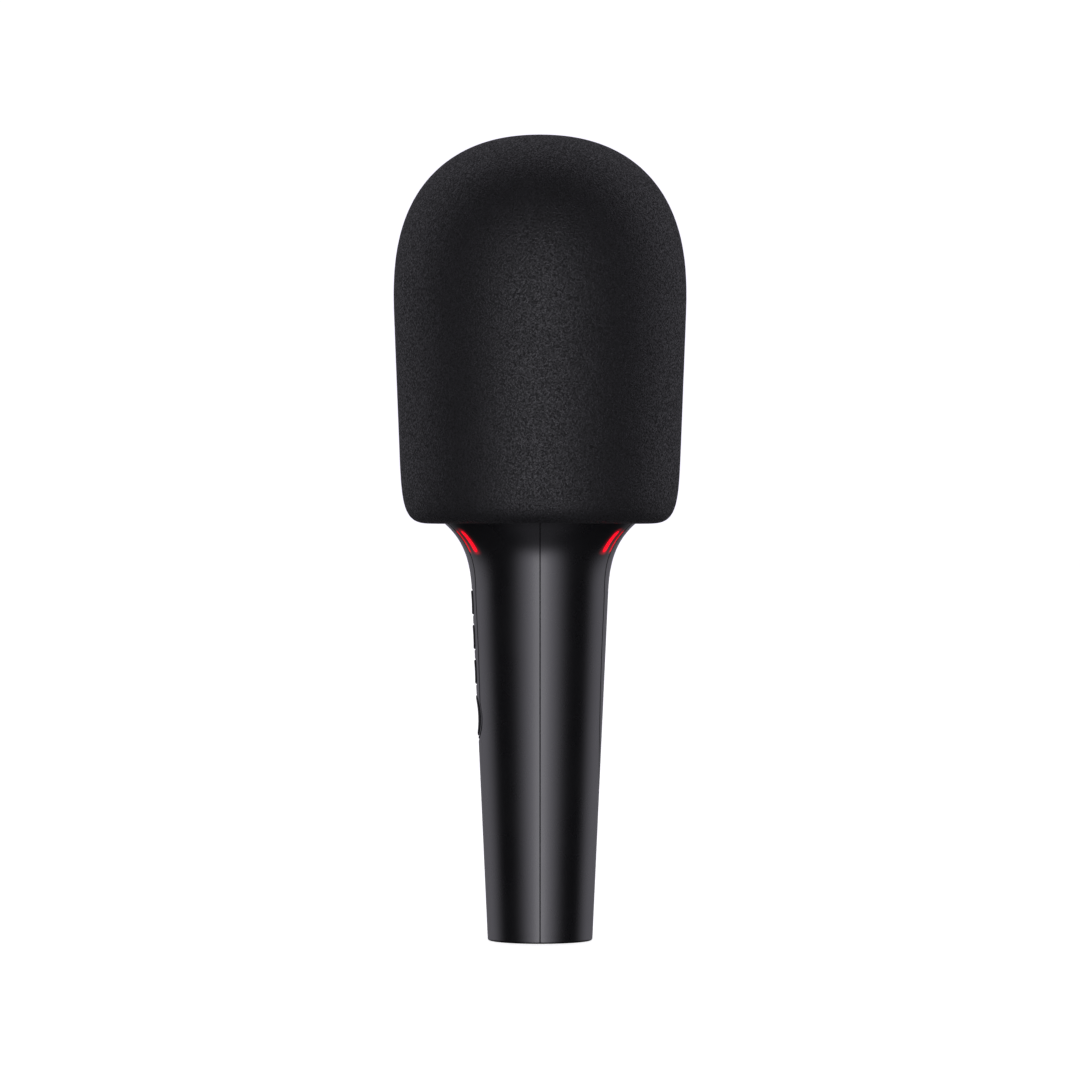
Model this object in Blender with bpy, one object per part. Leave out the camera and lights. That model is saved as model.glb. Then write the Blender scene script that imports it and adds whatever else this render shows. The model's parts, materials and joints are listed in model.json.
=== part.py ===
"""Handheld karaoke microphone with a foam windscreen and a loudspeaker in its head.

The microphone stands upright on its foot: +Z runs up the handle and the keys face -Y.
Lengths below are millimetres and are turned into metres as each mesh is made.
"""

import math

import bmesh
import bpy
from mathutils import Matrix, Vector

MM = 0.001
GAP = 0.3  # clearance between neighbouring pieces
STEPS = 48  # facets round the handle and the windscreen
INNER_STEPS = 32  # facets round the turned pieces inside them
SMALL_STEPS = 24
FRONT = -1
BACK = 1

# Handle: a straight cone that flares into the rim of the head.
FOOT_RADIUS = 15.62
CONE_SLOPE = 0.04556
FLARE_START = 104.0
FLARE_END = 124.47
FLARE_SQUARE = 0.00828
FLARE_FOURTH = 2.3e-5
FLARE_RINGS = 10
RIM_RADIUS = 28.8
RIM_TOP = 131.0
WALL = 2.6
FOOT_FILLET = 0.6
SEAM = 0.3  # width of the parting line between the two handle halves

# Foam windscreen.
FOAM_BOTTOM = 124.15
FOAM_TOP = 240.0
FOAM_LIP_RADIUS = 30.0
FOAM_CORNER_TOP = 160.0
FOAM_RADIUS_AT_150 = 42.1153
FOAM_SLOPE = 0.039
FOAM_DOME_BASE = 184.8365
FOAM_BORE = 29.1
FOAM_BORE_SHOULDER = 190.0
FOAM_BORE_TOP = 226.0

# Grille basket under the foam.
BASKET_RADIUS = 28.4
BASKET_SHOULDER = 190.0
BASKET_TOP = 225.2
BASKET_SHEET = 0.6
BAND_RADIUS = 28.7

# Trim strips let into the handle halves.
TRIM_THICKNESS = 1.1
TRIM_TOP = 127.0
TRIM_TIP = 45.0
TRIM_WAIST = 92.0
TRIM_HALF_WIDTH = 6.7
TRIM_NECK_EXTRA = 1.3
TRIM_RING_RADIUS = 7.0
TRIM_RING_JOIN = 4.0  # how far above its centre the ring meets the strip

# Keys, from the top of the handle down, and the round power button under them.
KEY_HEIGHTS = {"key_top": 100.7, "key_middle": 90.4, "key_bottom": 80.0}
KEY_SIDE = 7.2
KEY_CORNER = 1.6
KEY_PROUD = 0.25
BUTTON_HEIGHT = 67.0
BUTTON_RADIUS = 6.0
BUTTON_PROUD = 0.2
KEY_GAP = 0.4
SWITCH_TIP = -14.1  # y of the switch plungers

# Light bars on the neck.
BAR_CENTRE = 12.2
BAR_HALF_WIDTH = 1.0
EDGE_BAR_CENTRE = 8.85
EDGE_BAR_HALF_WIDTH = 0.5
BAR_BOTTOM = 115.7
BAR_TOP = 121.9

# Circuit board and battery.
BOARD_FRONT = -10.6
BOARD_BACK = -9.0
BOARD_HALF_WIDTH = 10.5
BOARD_BOTTOM = 50.0
BOARD_TOP = 105.6
BOARD_SCREWS = [(x, z) for z in (54.0, 102.0) for x in (-8.2, 8.2)]
CELL_RADIUS = 9.1
CELL_CENTRE = 4.2
CELL_BOTTOM = 20.0
CELL_TOP = 85.0

CASE_SCREW_HEIGHT = 108.5
SNAP_HEIGHTS = (35.0, 75.0)


# ---------------------------------------------------------------- materials


def material(name, colour, roughness, metallic=0.0):
    """A Principled material in one colour (linear red, green and blue)."""
    result = bpy.data.materials.new(name)
    result.use_nodes = True
    shader = result.node_tree.nodes["Principled BSDF"]
    shader.inputs["Base Color"].default_value = (*colour, 1.0)
    shader.inputs["Roughness"].default_value = roughness
    shader.inputs["Metallic"].default_value = metallic
    result.diffuse_color = (*colour, 1.0)
    return result


# ---------------------------------------------------------------- mesh tools


def to_object(name, bm):
    """Turns a bmesh in millimetres into an object in metres, faces outward."""
    bmesh.ops.recalc_face_normals(bm, faces=bm.faces)
    bmesh.ops.scale(bm, vec=(MM, MM, MM), verts=bm.verts)
    mesh = bpy.data.meshes.new(name)
    bm.to_mesh(mesh)
    bm.free()
    obj = bpy.data.objects.new(name, mesh)
    bpy.context.collection.objects.link(obj)
    return obj


def turned(name, outline, steps=INNER_STEPS):
    """Revolves an outline of (radius, height) points about Z.

    The outline either starts and ends on the axis or is a closed loop clear of it.
    """
    bm = bmesh.new()
    solid = outline[0][0] == 0.0
    rings = []
    for radius, height in outline:
        if radius == 0.0:
            rings.append([bm.verts.new((0.0, 0.0, height))] * steps)
            continue
        angles = [math.tau * i / steps for i in range(steps)]
        rings.append([
            bm.verts.new((radius * math.cos(a), radius * math.sin(a), height))
            for a in angles
        ])
    pairs = list(zip(rings, rings[1:]))
    if not solid:
        pairs.append((rings[-1], rings[0]))
    for lower, upper in pairs:
        for i in range(steps):
            j = (i + 1) % steps
            corners = [lower[i], lower[j], upper[j], upper[i]]
            bm.faces.new(list(dict.fromkeys(corners)))
    return to_object(name, bm)


def prism(name, outline, start, end, axis="Y"):
    """Extrudes an outline of (x, z) points along Y, or of (x, y) points along Z."""
    bm = bmesh.new()

    def vertex(point, depth):
        a, b = point
        return bm.verts.new((a, depth, b) if axis == "Y" else (a, b, depth))

    near = [vertex(p, start) for p in outline]
    far = [vertex(p, end) for p in outline]
    bm.faces.new(near)
    bm.faces.new(far)
    for i in range(len(outline)):
        j = (i + 1) % len(outline)
        bm.faces.new((near[i], near[j], far[j], far[i]))
    return to_object(name, bm)


def box(name, x, y, z):
    """A box from three (low, high) ranges."""
    outline = [(x[0], z[0]), (x[1], z[0]), (x[1], z[1]), (x[0], z[1])]
    return prism(name, outline, y[0], y[1])


def combine(obj, tool, operation):
    """Joins, cuts or intersects obj with tool, and removes the tool."""
    step = obj.modifiers.new(operation.title(), "BOOLEAN")
    step.operation = operation
    step.solver = "EXACT"
    step.object = tool
    depsgraph = bpy.context.evaluated_depsgraph_get()
    result = bpy.data.meshes.new_from_object(obj.evaluated_get(depsgraph))
    obj.modifiers.clear()
    old = obj.data
    obj.data = result
    bpy.data.meshes.remove(old)
    bpy.data.objects.remove(tool)
    return obj


def finish(obj, surface, parent, origin=(0.0, 0.0, 0.0)):
    """Gives a piece its material, its smooth shading, its origin (mm) and its parent."""
    point = Vector(origin) * MM
    obj.data.transform(Matrix.Translation(-point))
    obj.data.name = obj.name
    obj.data.materials.clear()
    obj.data.materials.append(surface)
    obj.data.shade_smooth()
    obj.data.set_sharp_from_angle(angle=math.radians(30))
    obj.location = point
    obj.parent = parent
    return obj


# ---------------------------------------------------------------- outlines


def circle(x, z, radius, points=24):
    return [
        (x + radius * math.cos(math.tau * i / points),
         z + radius * math.sin(math.tau * i / points))
        for i in range(points)
    ]


def rounded(x, z, half_width, half_height, corner, points=5):
    """A rectangle centred on (x, z) whose corners are rounded."""
    outline = []
    for quarter, (sx, sz) in enumerate(((1, 1), (-1, 1), (-1, -1), (1, -1))):
        for i in range(points):
            angle = math.pi / 2 * (quarter + i / (points - 1))
            outline.append((
                x + sx * (half_width - corner) + corner * math.cos(angle),
                z + sz * (half_height - corner) + corner * math.sin(angle),
            ))
    if half_width == corner or half_height == corner:
        return [p for i, p in enumerate(outline) if math.dist(p, outline[i - 1]) > 1e-6]
    return outline


def body_radius(z):
    """Radius of the handle at a height: the cone, plus the flare, up to the rim."""
    rise = max(0.0, z - FLARE_START)
    radius = FOOT_RADIUS + CONE_SLOPE * z
    radius += FLARE_SQUARE * rise**2 + FLARE_FOURTH * rise**4
    return min(RIM_RADIUS, radius)


def body_curve(offset, bottom, top):
    """Points up the handle's surface, moved outward by an offset."""
    flare = [
        FLARE_START + (FLARE_END - FLARE_START) * i / FLARE_RINGS
        for i in range(FLARE_RINGS + 1)
    ]
    heights = [bottom] + [z for z in flare if bottom < z < top] + [top]
    return [(body_radius(z) + offset, z) for z in heights]


def body_layer(name, inner, outer, bottom, top):
    """A turned layer that follows the handle's surface between two offsets."""
    inside = body_curve(inner, bottom, top)
    outside = body_curve(outer, bottom, top)
    return turned(name, outside + inside[::-1], STEPS)


def body_solid(name, offset):
    """The whole handle as one solid, grown by an offset."""
    outside = body_curve(offset, 0.0, 128.0)
    return turned(name, [(0.0, 0.0)] + outside + [(0.0, 128.0)], STEPS)


def foam_radius(z):
    """Radius of the windscreen: a slight cone with a domed top and a rounded lower edge."""
    radius = FOAM_RADIUS_AT_150 + FOAM_SLOPE * (z - 150.0)
    dome = max(0.0, (z - FOAM_DOME_BASE) / (FOAM_TOP - FOAM_DOME_BASE))
    radius *= (1.0 - min(1.0, dome) ** 2.589) ** (1 / 2.2638)
    corner = (FOAM_CORNER_TOP - z) / (FOAM_CORNER_TOP - FOAM_BOTTOM)
    corner = min(1.0, max(0.0, corner))
    corner = (1.0 - corner**7.2) ** (1 / 4.1755)
    return FOAM_LIP_RADIUS + (radius - FOAM_LIP_RADIUS) * corner


def dome_curve(radius, shoulder, top, points=7):
    """A rounded dome from its shoulder to the axis."""
    curve = []
    for i in range(points):
        angle = math.pi / 2 * i / points
        curve.append((
            radius * math.cos(angle) ** (2 / 2.4),
            shoulder + (top - shoulder) * math.sin(angle) ** (2 / 2.4),
        ))
    return curve + [(0.0, top)]


def trim_half_width(z):
    """Half the width of a trim strip: it tapers to its tip and widens at the neck."""
    down = min(1.0, max(0.0, (TRIM_WAIST - z) / (TRIM_WAIST - TRIM_TIP)))
    up = min(1.0, max(0.0, (z - 101.0) / 14.0))
    neck = TRIM_NECK_EXTRA * up * up * (3.0 - 2.0 * up)
    return TRIM_HALF_WIDTH * (1.0 - down**1.6) ** 0.45 + neck


def trim_outline(side, grow=0.0):
    """Outline in (x, z) of a trim strip; the front one ends in a ring round the button."""
    if side == BACK:
        tip = TRIM_TIP - grow
        heights = [TRIM_TIP + (TRIM_WAIST - TRIM_TIP) * (i / 8) ** 2 for i in range(1, 9)]
        edge = [(trim_half_width(z) + grow, z) for z in heights]
        edge.insert(0, (1.2, tip))
    else:
        ring = TRIM_RING_RADIUS + grow
        join = math.acos((trim_half_width(BUTTON_HEIGHT + TRIM_RING_JOIN) + grow) / ring)
        angles = [-math.pi / 2 + (math.pi / 2 + join) * i / 8 for i in range(9)]
        edge = [
            (ring * math.cos(a), BUTTON_HEIGHT + ring * math.sin(a)) for a in angles
        ]
        edge[0] = (0.4, edge[0][1])
        edge += [(trim_half_width(z) + grow, z) for z in (76.0, 83.0, TRIM_WAIST)]
    edge += [(trim_half_width(z) + grow, z) for z in (101.0, 105.0, 108.0, 111.0, 115.0)]
    edge.append((trim_half_width(TRIM_TOP) + grow, TRIM_TOP + grow))
    return edge + [(-x, z) for x, z in reversed(edge)]


# ---------------------------------------------------------------- handle


def trim_strip(name, side):
    strip = body_layer(name, -TRIM_THICKNESS, 0.0, 30.0, 129.0)
    reach = sorted((side * 5.0, side * 40.0))
    combine(strip, prism("outline", trim_outline(side), *reach), "INTERSECT")
    if side == FRONT:
        for hole in key_holes():
            combine(strip, hole, "DIFFERENCE")
    return strip


def trim_recess(side):
    recess = body_layer("recess", -TRIM_THICKNESS - GAP, 4.0, 30.0, 129.0)
    reach = sorted((side * 5.0, side * 40.0))
    combine(recess, prism("outline", trim_outline(side, GAP), *reach), "INTERSECT")
    return recess


def key_holes():
    half = KEY_SIDE / 2 + KEY_GAP
    holes = [
        prism("hole", rounded(0.0, z, half, half, KEY_CORNER + KEY_GAP), -40.0, -8.0)
        for z in KEY_HEIGHTS.values()
    ]
    ring = circle(0.0, BUTTON_HEIGHT, BUTTON_RADIUS + KEY_GAP, 32)
    return holes + [prism("hole", ring, -40.0, -8.0)]


def bar_outline(x, half_width, grow=0.0):
    """Rounded slot, in (x, z), of one light bar."""
    middle = (BAR_TOP + BAR_BOTTOM) / 2
    half_height = (BAR_TOP - BAR_BOTTOM) / 2 + grow
    half = half_width + grow
    return rounded(x, middle, half, half_height, half)


def half_handle(name, side):
    """One moulded half of the handle, with its ledges but without its bosses and holes."""
    outside = [(FOOT_RADIUS - 4.62, 0.0), (FOOT_RADIUS - FOOT_FILLET, 0.0)]
    outside.append((FOOT_RADIUS - 0.16, 0.18))
    outside += body_curve(0.0, FOOT_FILLET, RIM_TOP)
    inside = [(FOOT_RADIUS - 4.62, 1.8)] + body_curve(-WALL, 1.8, 122.6)
    inside += [(24.2, 125.7), (26.2, 125.7), (26.2, RIM_TOP)]
    half = turned(name, outside + inside[::-1], STEPS)
    reach = sorted((side * SEAM / 2, side * 50.0))
    return combine(half, box("half", (-50, 50), reach, (-5, 140)), "INTERSECT")


def boss(x, z, radius, side, start):
    """A round boss along Y from a depth to the middle of the handle's wall."""
    end = math.sqrt((body_radius(z) - WALL / 2) ** 2 - x * x)
    return prism("boss", circle(x, z, radius), side * start, side * end)


def cut_bars(half, side):
    for x in (-1, 1):
        for centre, width in (
            (BAR_CENTRE, BAR_HALF_WIDTH),
            (EDGE_BAR_CENTRE, EDGE_BAR_HALF_WIDTH),
        ):
            slot = bar_outline(x * centre, width, GAP)
            combine(half, prism("slot", slot, side * 10.0, side * 40.0), "DIFFERENCE")


def front_half(name):
    half = half_handle(name, FRONT)
    combine(half, boss(0.0, CASE_SCREW_HEIGHT, 2.3, FRONT, 0.3), "UNION")
    for x, z in BOARD_SCREWS:
        combine(half, boss(x, z, 1.9, FRONT, -BOARD_FRONT + GAP), "UNION")
    for z in SNAP_HEIGHTS:
        inner = body_radius(z) - WALL
        for x in (-1, 1):
            tongue = sorted((x * (inner - 2.0), x * (inner - 0.9)))
            root = sorted((x * (inner - 2.0), x * (inner + 1.0)))
            combine(half, box("root", root, (-4.0, -0.6), (z - 2, z + 2)), "UNION")
            combine(half, box("tongue", tongue, (-3.0, 3.0), (z - 1.5, z + 1.5)), "UNION")
    combine(half, trim_recess(FRONT), "DIFFERENCE")
    for hole in key_holes():
        combine(half, hole, "DIFFERENCE")
    cut_bars(half, FRONT)
    pilot = prism("pilot", circle(0.0, CASE_SCREW_HEIGHT, 1.5, 16), -14.0, 5.0)
    combine(half, pilot, "DIFFERENCE")
    for x, z in BOARD_SCREWS:
        hole = prism("pilot", circle(x, z, 1.2, 12), -13.0, -5.0)
        combine(half, hole, "DIFFERENCE")
    return half


def back_half(name):
    half = half_handle(name, BACK)
    combine(half, boss(0.0, CASE_SCREW_HEIGHT, 3.6, BACK, 0.3), "UNION")
    combine(half, trim_recess(BACK), "DIFFERENCE")
    cut_bars(half, BACK)
    well = prism("well", circle(0.0, CASE_SCREW_HEIGHT, 2.7), 3.2, 40.0)
    combine(half, well, "DIFFERENCE")
    hole = prism("hole", circle(0.0, CASE_SCREW_HEIGHT, 1.5, 16), -5.0, 10.0)
    return combine(half, hole, "DIFFERENCE")


def screw(name, x, z, head, shank):
    """A pan-head screw along Y. head and shank are (radius, start, end)."""
    obj = prism(name, circle(x, z, head[0], 16), head[1], head[2])
    stem = prism("stem", circle(x, z, shank[0], 12), shank[1], shank[2])
    combine(obj, stem, "UNION")
    slots = [
        box("slot", (x - 0.25, x + 0.25), (head[1] - 0.6, head[1] + 1), (z - 1.1, z + 1.1)),
        box("slot", (x - 1.1, x + 1.1), (head[1] - 0.6, head[1] + 1), (z - 0.25, z + 0.25)),
    ]
    for slot in slots:
        combine(obj, slot, "DIFFERENCE")
    return obj


def key(name, z):
    """A square key: its top follows the handle, and its stem ends over the switch."""
    cap = rounded(0.0, z, KEY_SIDE / 2, KEY_SIDE / 2, KEY_CORNER)
    tab_reach = 4.9
    inner = body_radius(z - 2.0) - WALL
    tab = -math.sqrt(inner**2 - tab_reach**2) + GAP
    obj = prism(name, cap, -40.0, tab + 0.6)
    combine(obj, body_solid("surface", KEY_PROUD), "INTERSECT")
    tabs = box("tabs", (-tab_reach, tab_reach), (tab, tab + 0.8), (z - 2, z + 2))
    combine(obj, tabs, "UNION")
    stem = prism("stem", circle(0.0, z, 1.5, 16), tab + 0.3, SWITCH_TIP - GAP)
    return combine(obj, stem, "UNION")


def power_button(name):
    """A round button with a shallow dish in its top."""
    z = BUTTON_HEIGHT
    obj = prism(name, circle(0.0, z, BUTTON_RADIUS, 32), -40.0, -14.7)
    combine(obj, body_solid("surface", BUTTON_PROUD), "INTERSECT")
    bm = bmesh.new()
    bmesh.ops.create_uvsphere(bm, u_segments=48, v_segments=32, radius=30.0)
    front = -(body_radius(z) + BUTTON_PROUD)
    bmesh.ops.translate(bm, vec=(0.0, front - 30.0 + 0.4, z), verts=bm.verts)
    combine(obj, to_object("dish", bm), "DIFFERENCE")
    tabs = box("tabs", (-2.5, 2.5), (-15.2, -14.6), (z - 6.4, z + 6.4))
    combine(obj, tabs, "UNION")
    stem = prism("stem", circle(0.0, z, 1.5, 16), -15.0, SWITCH_TIP - GAP)
    return combine(obj, stem, "UNION")


def light_guide(name, side, x):
    """A clear guide with a broad bar and a thin one, both level with the neck's surface."""
    obj = prism(name, bar_outline(x * BAR_CENTRE, BAR_HALF_WIDTH), side * 13.7, side * 40.0)
    thin = bar_outline(x * EDGE_BAR_CENTRE, EDGE_BAR_HALF_WIDTH)
    thin = prism("thin", thin, side * 15.2, side * 40.0)
    combine(thin, body_solid("surface", 0.1), "INTERSECT")
    combine(obj, body_solid("surface", 0.1), "INTERSECT")
    reach = sorted((x * (EDGE_BAR_CENTRE - 0.4), x * (BAR_CENTRE + 0.9)))
    block = box("block", reach, sorted((side * 12.5, side * 14.2)), (115.3, 119.4))
    thin_reach = sorted((x * (EDGE_BAR_CENTRE - 0.4), x * (EDGE_BAR_CENTRE + 0.4)))
    foot = box("foot", thin_reach, sorted((side * 13.0, side * 15.9)), (116.2, 119.0))
    combine(block, foot, "UNION")
    combine(block, thin, "UNION")
    return combine(obj, block, "UNION")


def bottom_cap(name):
    """The round foot that closes the handle, with the charging slot through it."""
    outline = [(0.0, 0.0), (10.5, 0.0), (10.7, 0.2), (10.7, 2.1), (12.6, 2.1)]
    obj = turned(name, outline + [(12.6, 3.7), (0.0, 3.7)], STEPS)
    slot = rounded(0.0, 0.0, 4.9, 1.95, 1.95)
    return combine(obj, prism("slot", slot, -1.0, 5.0, "Z"), "DIFFERENCE")


# ---------------------------------------------------------------- inside the handle


def usb_socket(name):
    obj = prism(name, rounded(0.0, 0.0, 4.47, 1.58, 1.58), 0.6, 8.2, "Z")
    hollow = prism("hollow", rounded(0.0, 0.0, 4.17, 1.28, 1.28), 0.0, 7.9, "Z")
    return combine(obj, hollow, "DIFFERENCE")


def battery_cell(name):
    outline = [(0.0, CELL_BOTTOM), (8.8, CELL_BOTTOM), (CELL_RADIUS, CELL_BOTTOM + 0.3)]
    outline += [(CELL_RADIUS, CELL_TOP - 1.1), (8.8, CELL_TOP - 0.8), (2.8, CELL_TOP - 0.8)]
    obj = turned(name, outline + [(2.8, CELL_TOP), (0.0, CELL_TOP)], SMALL_STEPS)
    obj.data.transform(Matrix.Translation((0.0, CELL_CENTRE * MM, 0.0)))
    return obj


def battery_cradle(name):
    obj = box(name, (-9.6, 9.6), (-6.6, -5.3), (17.6, 87.5))
    for low in (17.6, 86.0):
        wall = box("wall", (-7.0, 7.0), (-5.8, 10.0), (low, low + 1.5))
        combine(obj, wall, "UNION")
    return obj


def main_board(name):
    obj = box(
        name,
        (-BOARD_HALF_WIDTH, BOARD_HALF_WIDTH),
        (BOARD_FRONT, BOARD_BACK),
        (BOARD_BOTTOM, BOARD_TOP),
    )
    for x, z in BOARD_SCREWS:
        hole = prism("hole", circle(x, z, 1.2, 12), -15.0, -5.0)
        combine(obj, hole, "DIFFERENCE")
    return obj


def switch(name, z):
    """A push switch on the board's front, its plunger toward the key."""
    obj = box(name, (-2.25, 2.25), (-12.6, BOARD_FRONT - 0.05), (z - 2.25, z + 2.25))
    plunger = prism("plunger", circle(0.0, z, 1.1, 16), SWITCH_TIP, -12.0)
    return combine(obj, plunger, "UNION")


def light_board(name):
    return turned(name, [(12.5, 112.6), (18.3, 112.6), (18.3, 113.6), (12.5, 113.6)])


# ---------------------------------------------------------------- loudspeaker


def speaker_frame(name):
    outline = [
        (7.3, 116.4), (10.4, 116.4), (21.4, 126.0), (25.9, 126.0), (25.9, 127.2),
        (21.0, 127.2), (9.8, 117.4), (7.3, 117.4),
    ]
    return turned(name, outline)


def speaker_yoke(name):
    outline = [(0.0, 112.6), (9.5, 112.6), (9.5, 116.1), (7.4, 116.1), (7.4, 113.8)]
    return turned(name, outline + [(0.0, 113.8)], SMALL_STEPS)


def speaker_cone(name):
    outline = [
        (6.4, 115.1), (6.9, 115.1), (6.9, 120.2), (19.2, 126.9), (19.2, 127.4),
        (6.9, 120.8), (6.4, 120.8),
    ]
    return turned(name, outline)


def dust_cap(name):
    outer = [(8.6 * math.cos(a), 122.0 + 2.2 * math.sin(a)) for a in arc(5)]
    inner = [(8.2 * math.cos(a), 122.0 + 1.8 * math.sin(a)) for a in arc(5)]
    return turned(name, [(0.0, 124.2)] + outer[::-1] + inner + [(0.0, 123.8)], SMALL_STEPS)


def arc(points):
    """Angles over a quarter turn, without the one on the axis."""
    return [math.pi / 2 * i / points for i in range(points)]


def speaker_surround(name):
    """The half-roll between the cone's edge and the frame."""
    angles = [math.pi * (1.0 - i / 5) for i in range(1, 5)]
    top = [(19.5, 128.0)]
    top += [(21.1 + 1.5 * math.cos(a), 128.2 + 1.4 * math.sin(a)) for a in angles]
    top += [(22.8, 127.9), (23.6, 127.9)]
    bottom = [(r, z - 0.4) for r, z in top]
    return turned(name, top + bottom[::-1])


# ---------------------------------------------------------------- head


def grille_collar(name):
    outline = [
        (24.0, 127.5), (25.9, 127.5), (25.9, 131.3), (28.7, 131.3), (28.7, 137.0),
        (27.3, 137.0), (27.3, 139.5), (25.5, 139.5), (25.5, 134.0), (24.0, 132.0),
    ]
    return turned(name, outline)


def grille_side(name):
    inner = BASKET_RADIUS - BASKET_SHEET
    outline = [(inner, 137.3), (BASKET_RADIUS, 137.3), (BASKET_RADIUS, 177.7)]
    return turned(name, outline + [(inner, 177.7)])


def grille_band(name):
    outline = [
        (25.9, 176.0), (27.3, 176.0), (27.3, 178.0), (BAND_RADIUS, 178.0),
        (BAND_RADIUS, 182.0), (27.3, 182.0), (27.3, 184.0), (25.9, 184.0),
    ]
    return turned(name, outline)


def domed_layer(name, bottom, inset, thickness):
    """A turned dome that lies a distance inside the basket's outer surface."""
    outer = dome_curve(BASKET_RADIUS - inset, BASKET_SHOULDER, BASKET_TOP - inset)
    depth = inset + thickness
    inner = dome_curve(BASKET_RADIUS - depth, BASKET_SHOULDER, BASKET_TOP - depth)
    lower = [(BASKET_RADIUS - depth, bottom), (BASKET_RADIUS - inset, bottom)]
    return turned(name, inner[::-1] + lower + outer)


def capsule_bridge(name):
    """Three legs that carry the microphone capsule above the loudspeaker."""
    obj = turned(name, [(20.5, 134.3), (25.2, 134.3), (25.2, 136.5), (20.5, 136.5)])
    cup = turned("cup", [(13.6, 186.0), (15.6, 186.0), (15.6, 193.0), (13.6, 193.0)])
    for i in range(3):
        profile = [(21.3, 135.0), (24.3, 135.0), (15.2, 190.0), (14.0, 190.0)]
        leg = prism("leg", profile, -1.4, 1.4)
        leg.data.transform(Matrix.Rotation(math.tau * (i + 0.25) / 3, 4, "Z"))
        combine(obj, leg, "UNION")
    return combine(obj, cup, "UNION")


def capsule_holder(name):
    outline = [
        (8.0, 185.9), (13.3, 185.9), (13.3, 199.5), (11.3, 199.5), (11.3, 187.9),
        (8.0, 187.9),
    ]
    return turned(name, outline, SMALL_STEPS)


def capsule(name):
    outline = [
        (0.0, 188.2), (11.0, 188.2), (11.0, 199.8), (12.8, 199.8), (12.8, 205.0),
        (11.2, 205.0), (11.2, 203.6), (0.0, 203.6),
    ]
    return turned(name, outline, SMALL_STEPS)


def windscreen(name):
    """The foam windscreen: an open bore from below, with a domed top."""
    corner = []
    for angle in arc(8)[::-1]:
        drop = math.sin(angle) ** (2 / 7.2)
        corner.append(FOAM_CORNER_TOP - (FOAM_CORNER_TOP - FOAM_BOTTOM) * drop)
    dome = []
    for angle in arc(12):
        rise = math.sin(angle) ** (2 / 2.589)
        dome.append(FOAM_DOME_BASE + (FOAM_TOP - FOAM_DOME_BASE) * rise)
    outer = [(foam_radius(z), z) for z in corner + dome]
    bore = dome_curve(FOAM_BORE, FOAM_BORE_SHOULDER, FOAM_BORE_TOP)
    lips = [(FOAM_BORE, FOAM_BOTTOM), (FOAM_LIP_RADIUS, FOAM_BOTTOM)]
    return turned(name, bore[::-1] + lips + outer + [(0.0, FOAM_TOP)], STEPS)


# ---------------------------------------------------------------- assembly


def make_materials():
    return {
        "foam": material("Open-cell foam", (0.028, 0.028, 0.030), 0.95),
        "shell": material("Black ABS, semi-gloss", (0.012, 0.012, 0.013), 0.3),
        "trim": material("Black ABS, gloss", (0.010, 0.010, 0.011), 0.18),
        "key": material("Black keycap plastic", (0.006, 0.006, 0.007), 0.35),
        "light": material("Red light guide", (0.9, 0.005, 0.02), 0.3),
        "lamp": material("White lamp package", (0.75, 0.75, 0.70), 0.4),
        "steel": material("Nickel-plated steel", (0.55, 0.55, 0.56), 0.35, 1.0),
        "dark_steel": material("Black-painted steel", (0.02, 0.02, 0.02), 0.45),
        "ring": material("Aluminium, painted black", (0.02, 0.02, 0.02), 0.45),
        "grille": material("Woven steel grille", (0.30, 0.30, 0.31), 0.4, 1.0),
        "aluminium": material("Turned aluminium", (0.60, 0.60, 0.62), 0.35, 1.0),
        "board": material("Green circuit board", (0.010, 0.090, 0.035), 0.45),
        "chip": material("Black epoxy chip", (0.015, 0.015, 0.016), 0.5),
        "cell": material("Blue battery wrap", (0.015, 0.07, 0.30), 0.35),
        "cradle": material("Black nylon", (0.02, 0.02, 0.02), 0.6),
        "paper": material("Black paper cone", (0.02, 0.02, 0.022), 0.85),
        "rubber": material("Black rubber", (0.018, 0.018, 0.018), 0.75),
        "liner": material("Grey liner foam", (0.06, 0.06, 0.065), 0.95),
        "cloth": material("Acoustic cloth", (0.03, 0.03, 0.033), 0.9),
    }


def build_handle(mats, root):
    finish(front_half("handle_front"), mats["shell"], root)
    finish(back_half("handle_back"), mats["shell"], root)
    finish(trim_strip("trim_front", FRONT), mats["trim"], root)
    finish(trim_strip("trim_back", BACK), mats["trim"], root)
    finish(bottom_cap("bottom_cap"), mats["shell"], root)
    case_screw = screw(
        "case_screw", 0.0, CASE_SCREW_HEIGHT, (2.4, 5.2, 3.5), (1.2, 4.0, -9.0)
    )
    finish(case_screw, mats["steel"], root, (0.0, 3.5, CASE_SCREW_HEIGHT))
    for name, z in KEY_HEIGHTS.items():
        finish(key(name, z), mats["key"], root, (0.0, -body_radius(z), z))
    button = power_button("power_button")
    place = (0.0, -body_radius(BUTTON_HEIGHT), BUTTON_HEIGHT)
    finish(button, mats["key"], root, place)


def build_lights(mats, root):
    finish(light_board("light_board"), mats["board"], root, (0.0, 0.0, 112.6))
    for front_back, side in (("front", FRONT), ("back", BACK)):
        for left_right, x in (("left", -1), ("right", 1)):
            corner = f"{front_back}_{left_right}"
            guide = light_guide(f"light_guide_{corner}", side, x)
            finish(guide, mats["light"], root, (x * BAR_CENTRE, side * 17.0, 118.8))
            lamp = box(
                f"lamp_{corner}",
                sorted((x * 8.9, x * 11.9)),
                sorted((side * 12.4, side * 14.2)),
                (113.65, 114.95),
            )
            finish(lamp, mats["lamp"], root, (x * 10.4, side * 13.3, 113.65))


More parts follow.
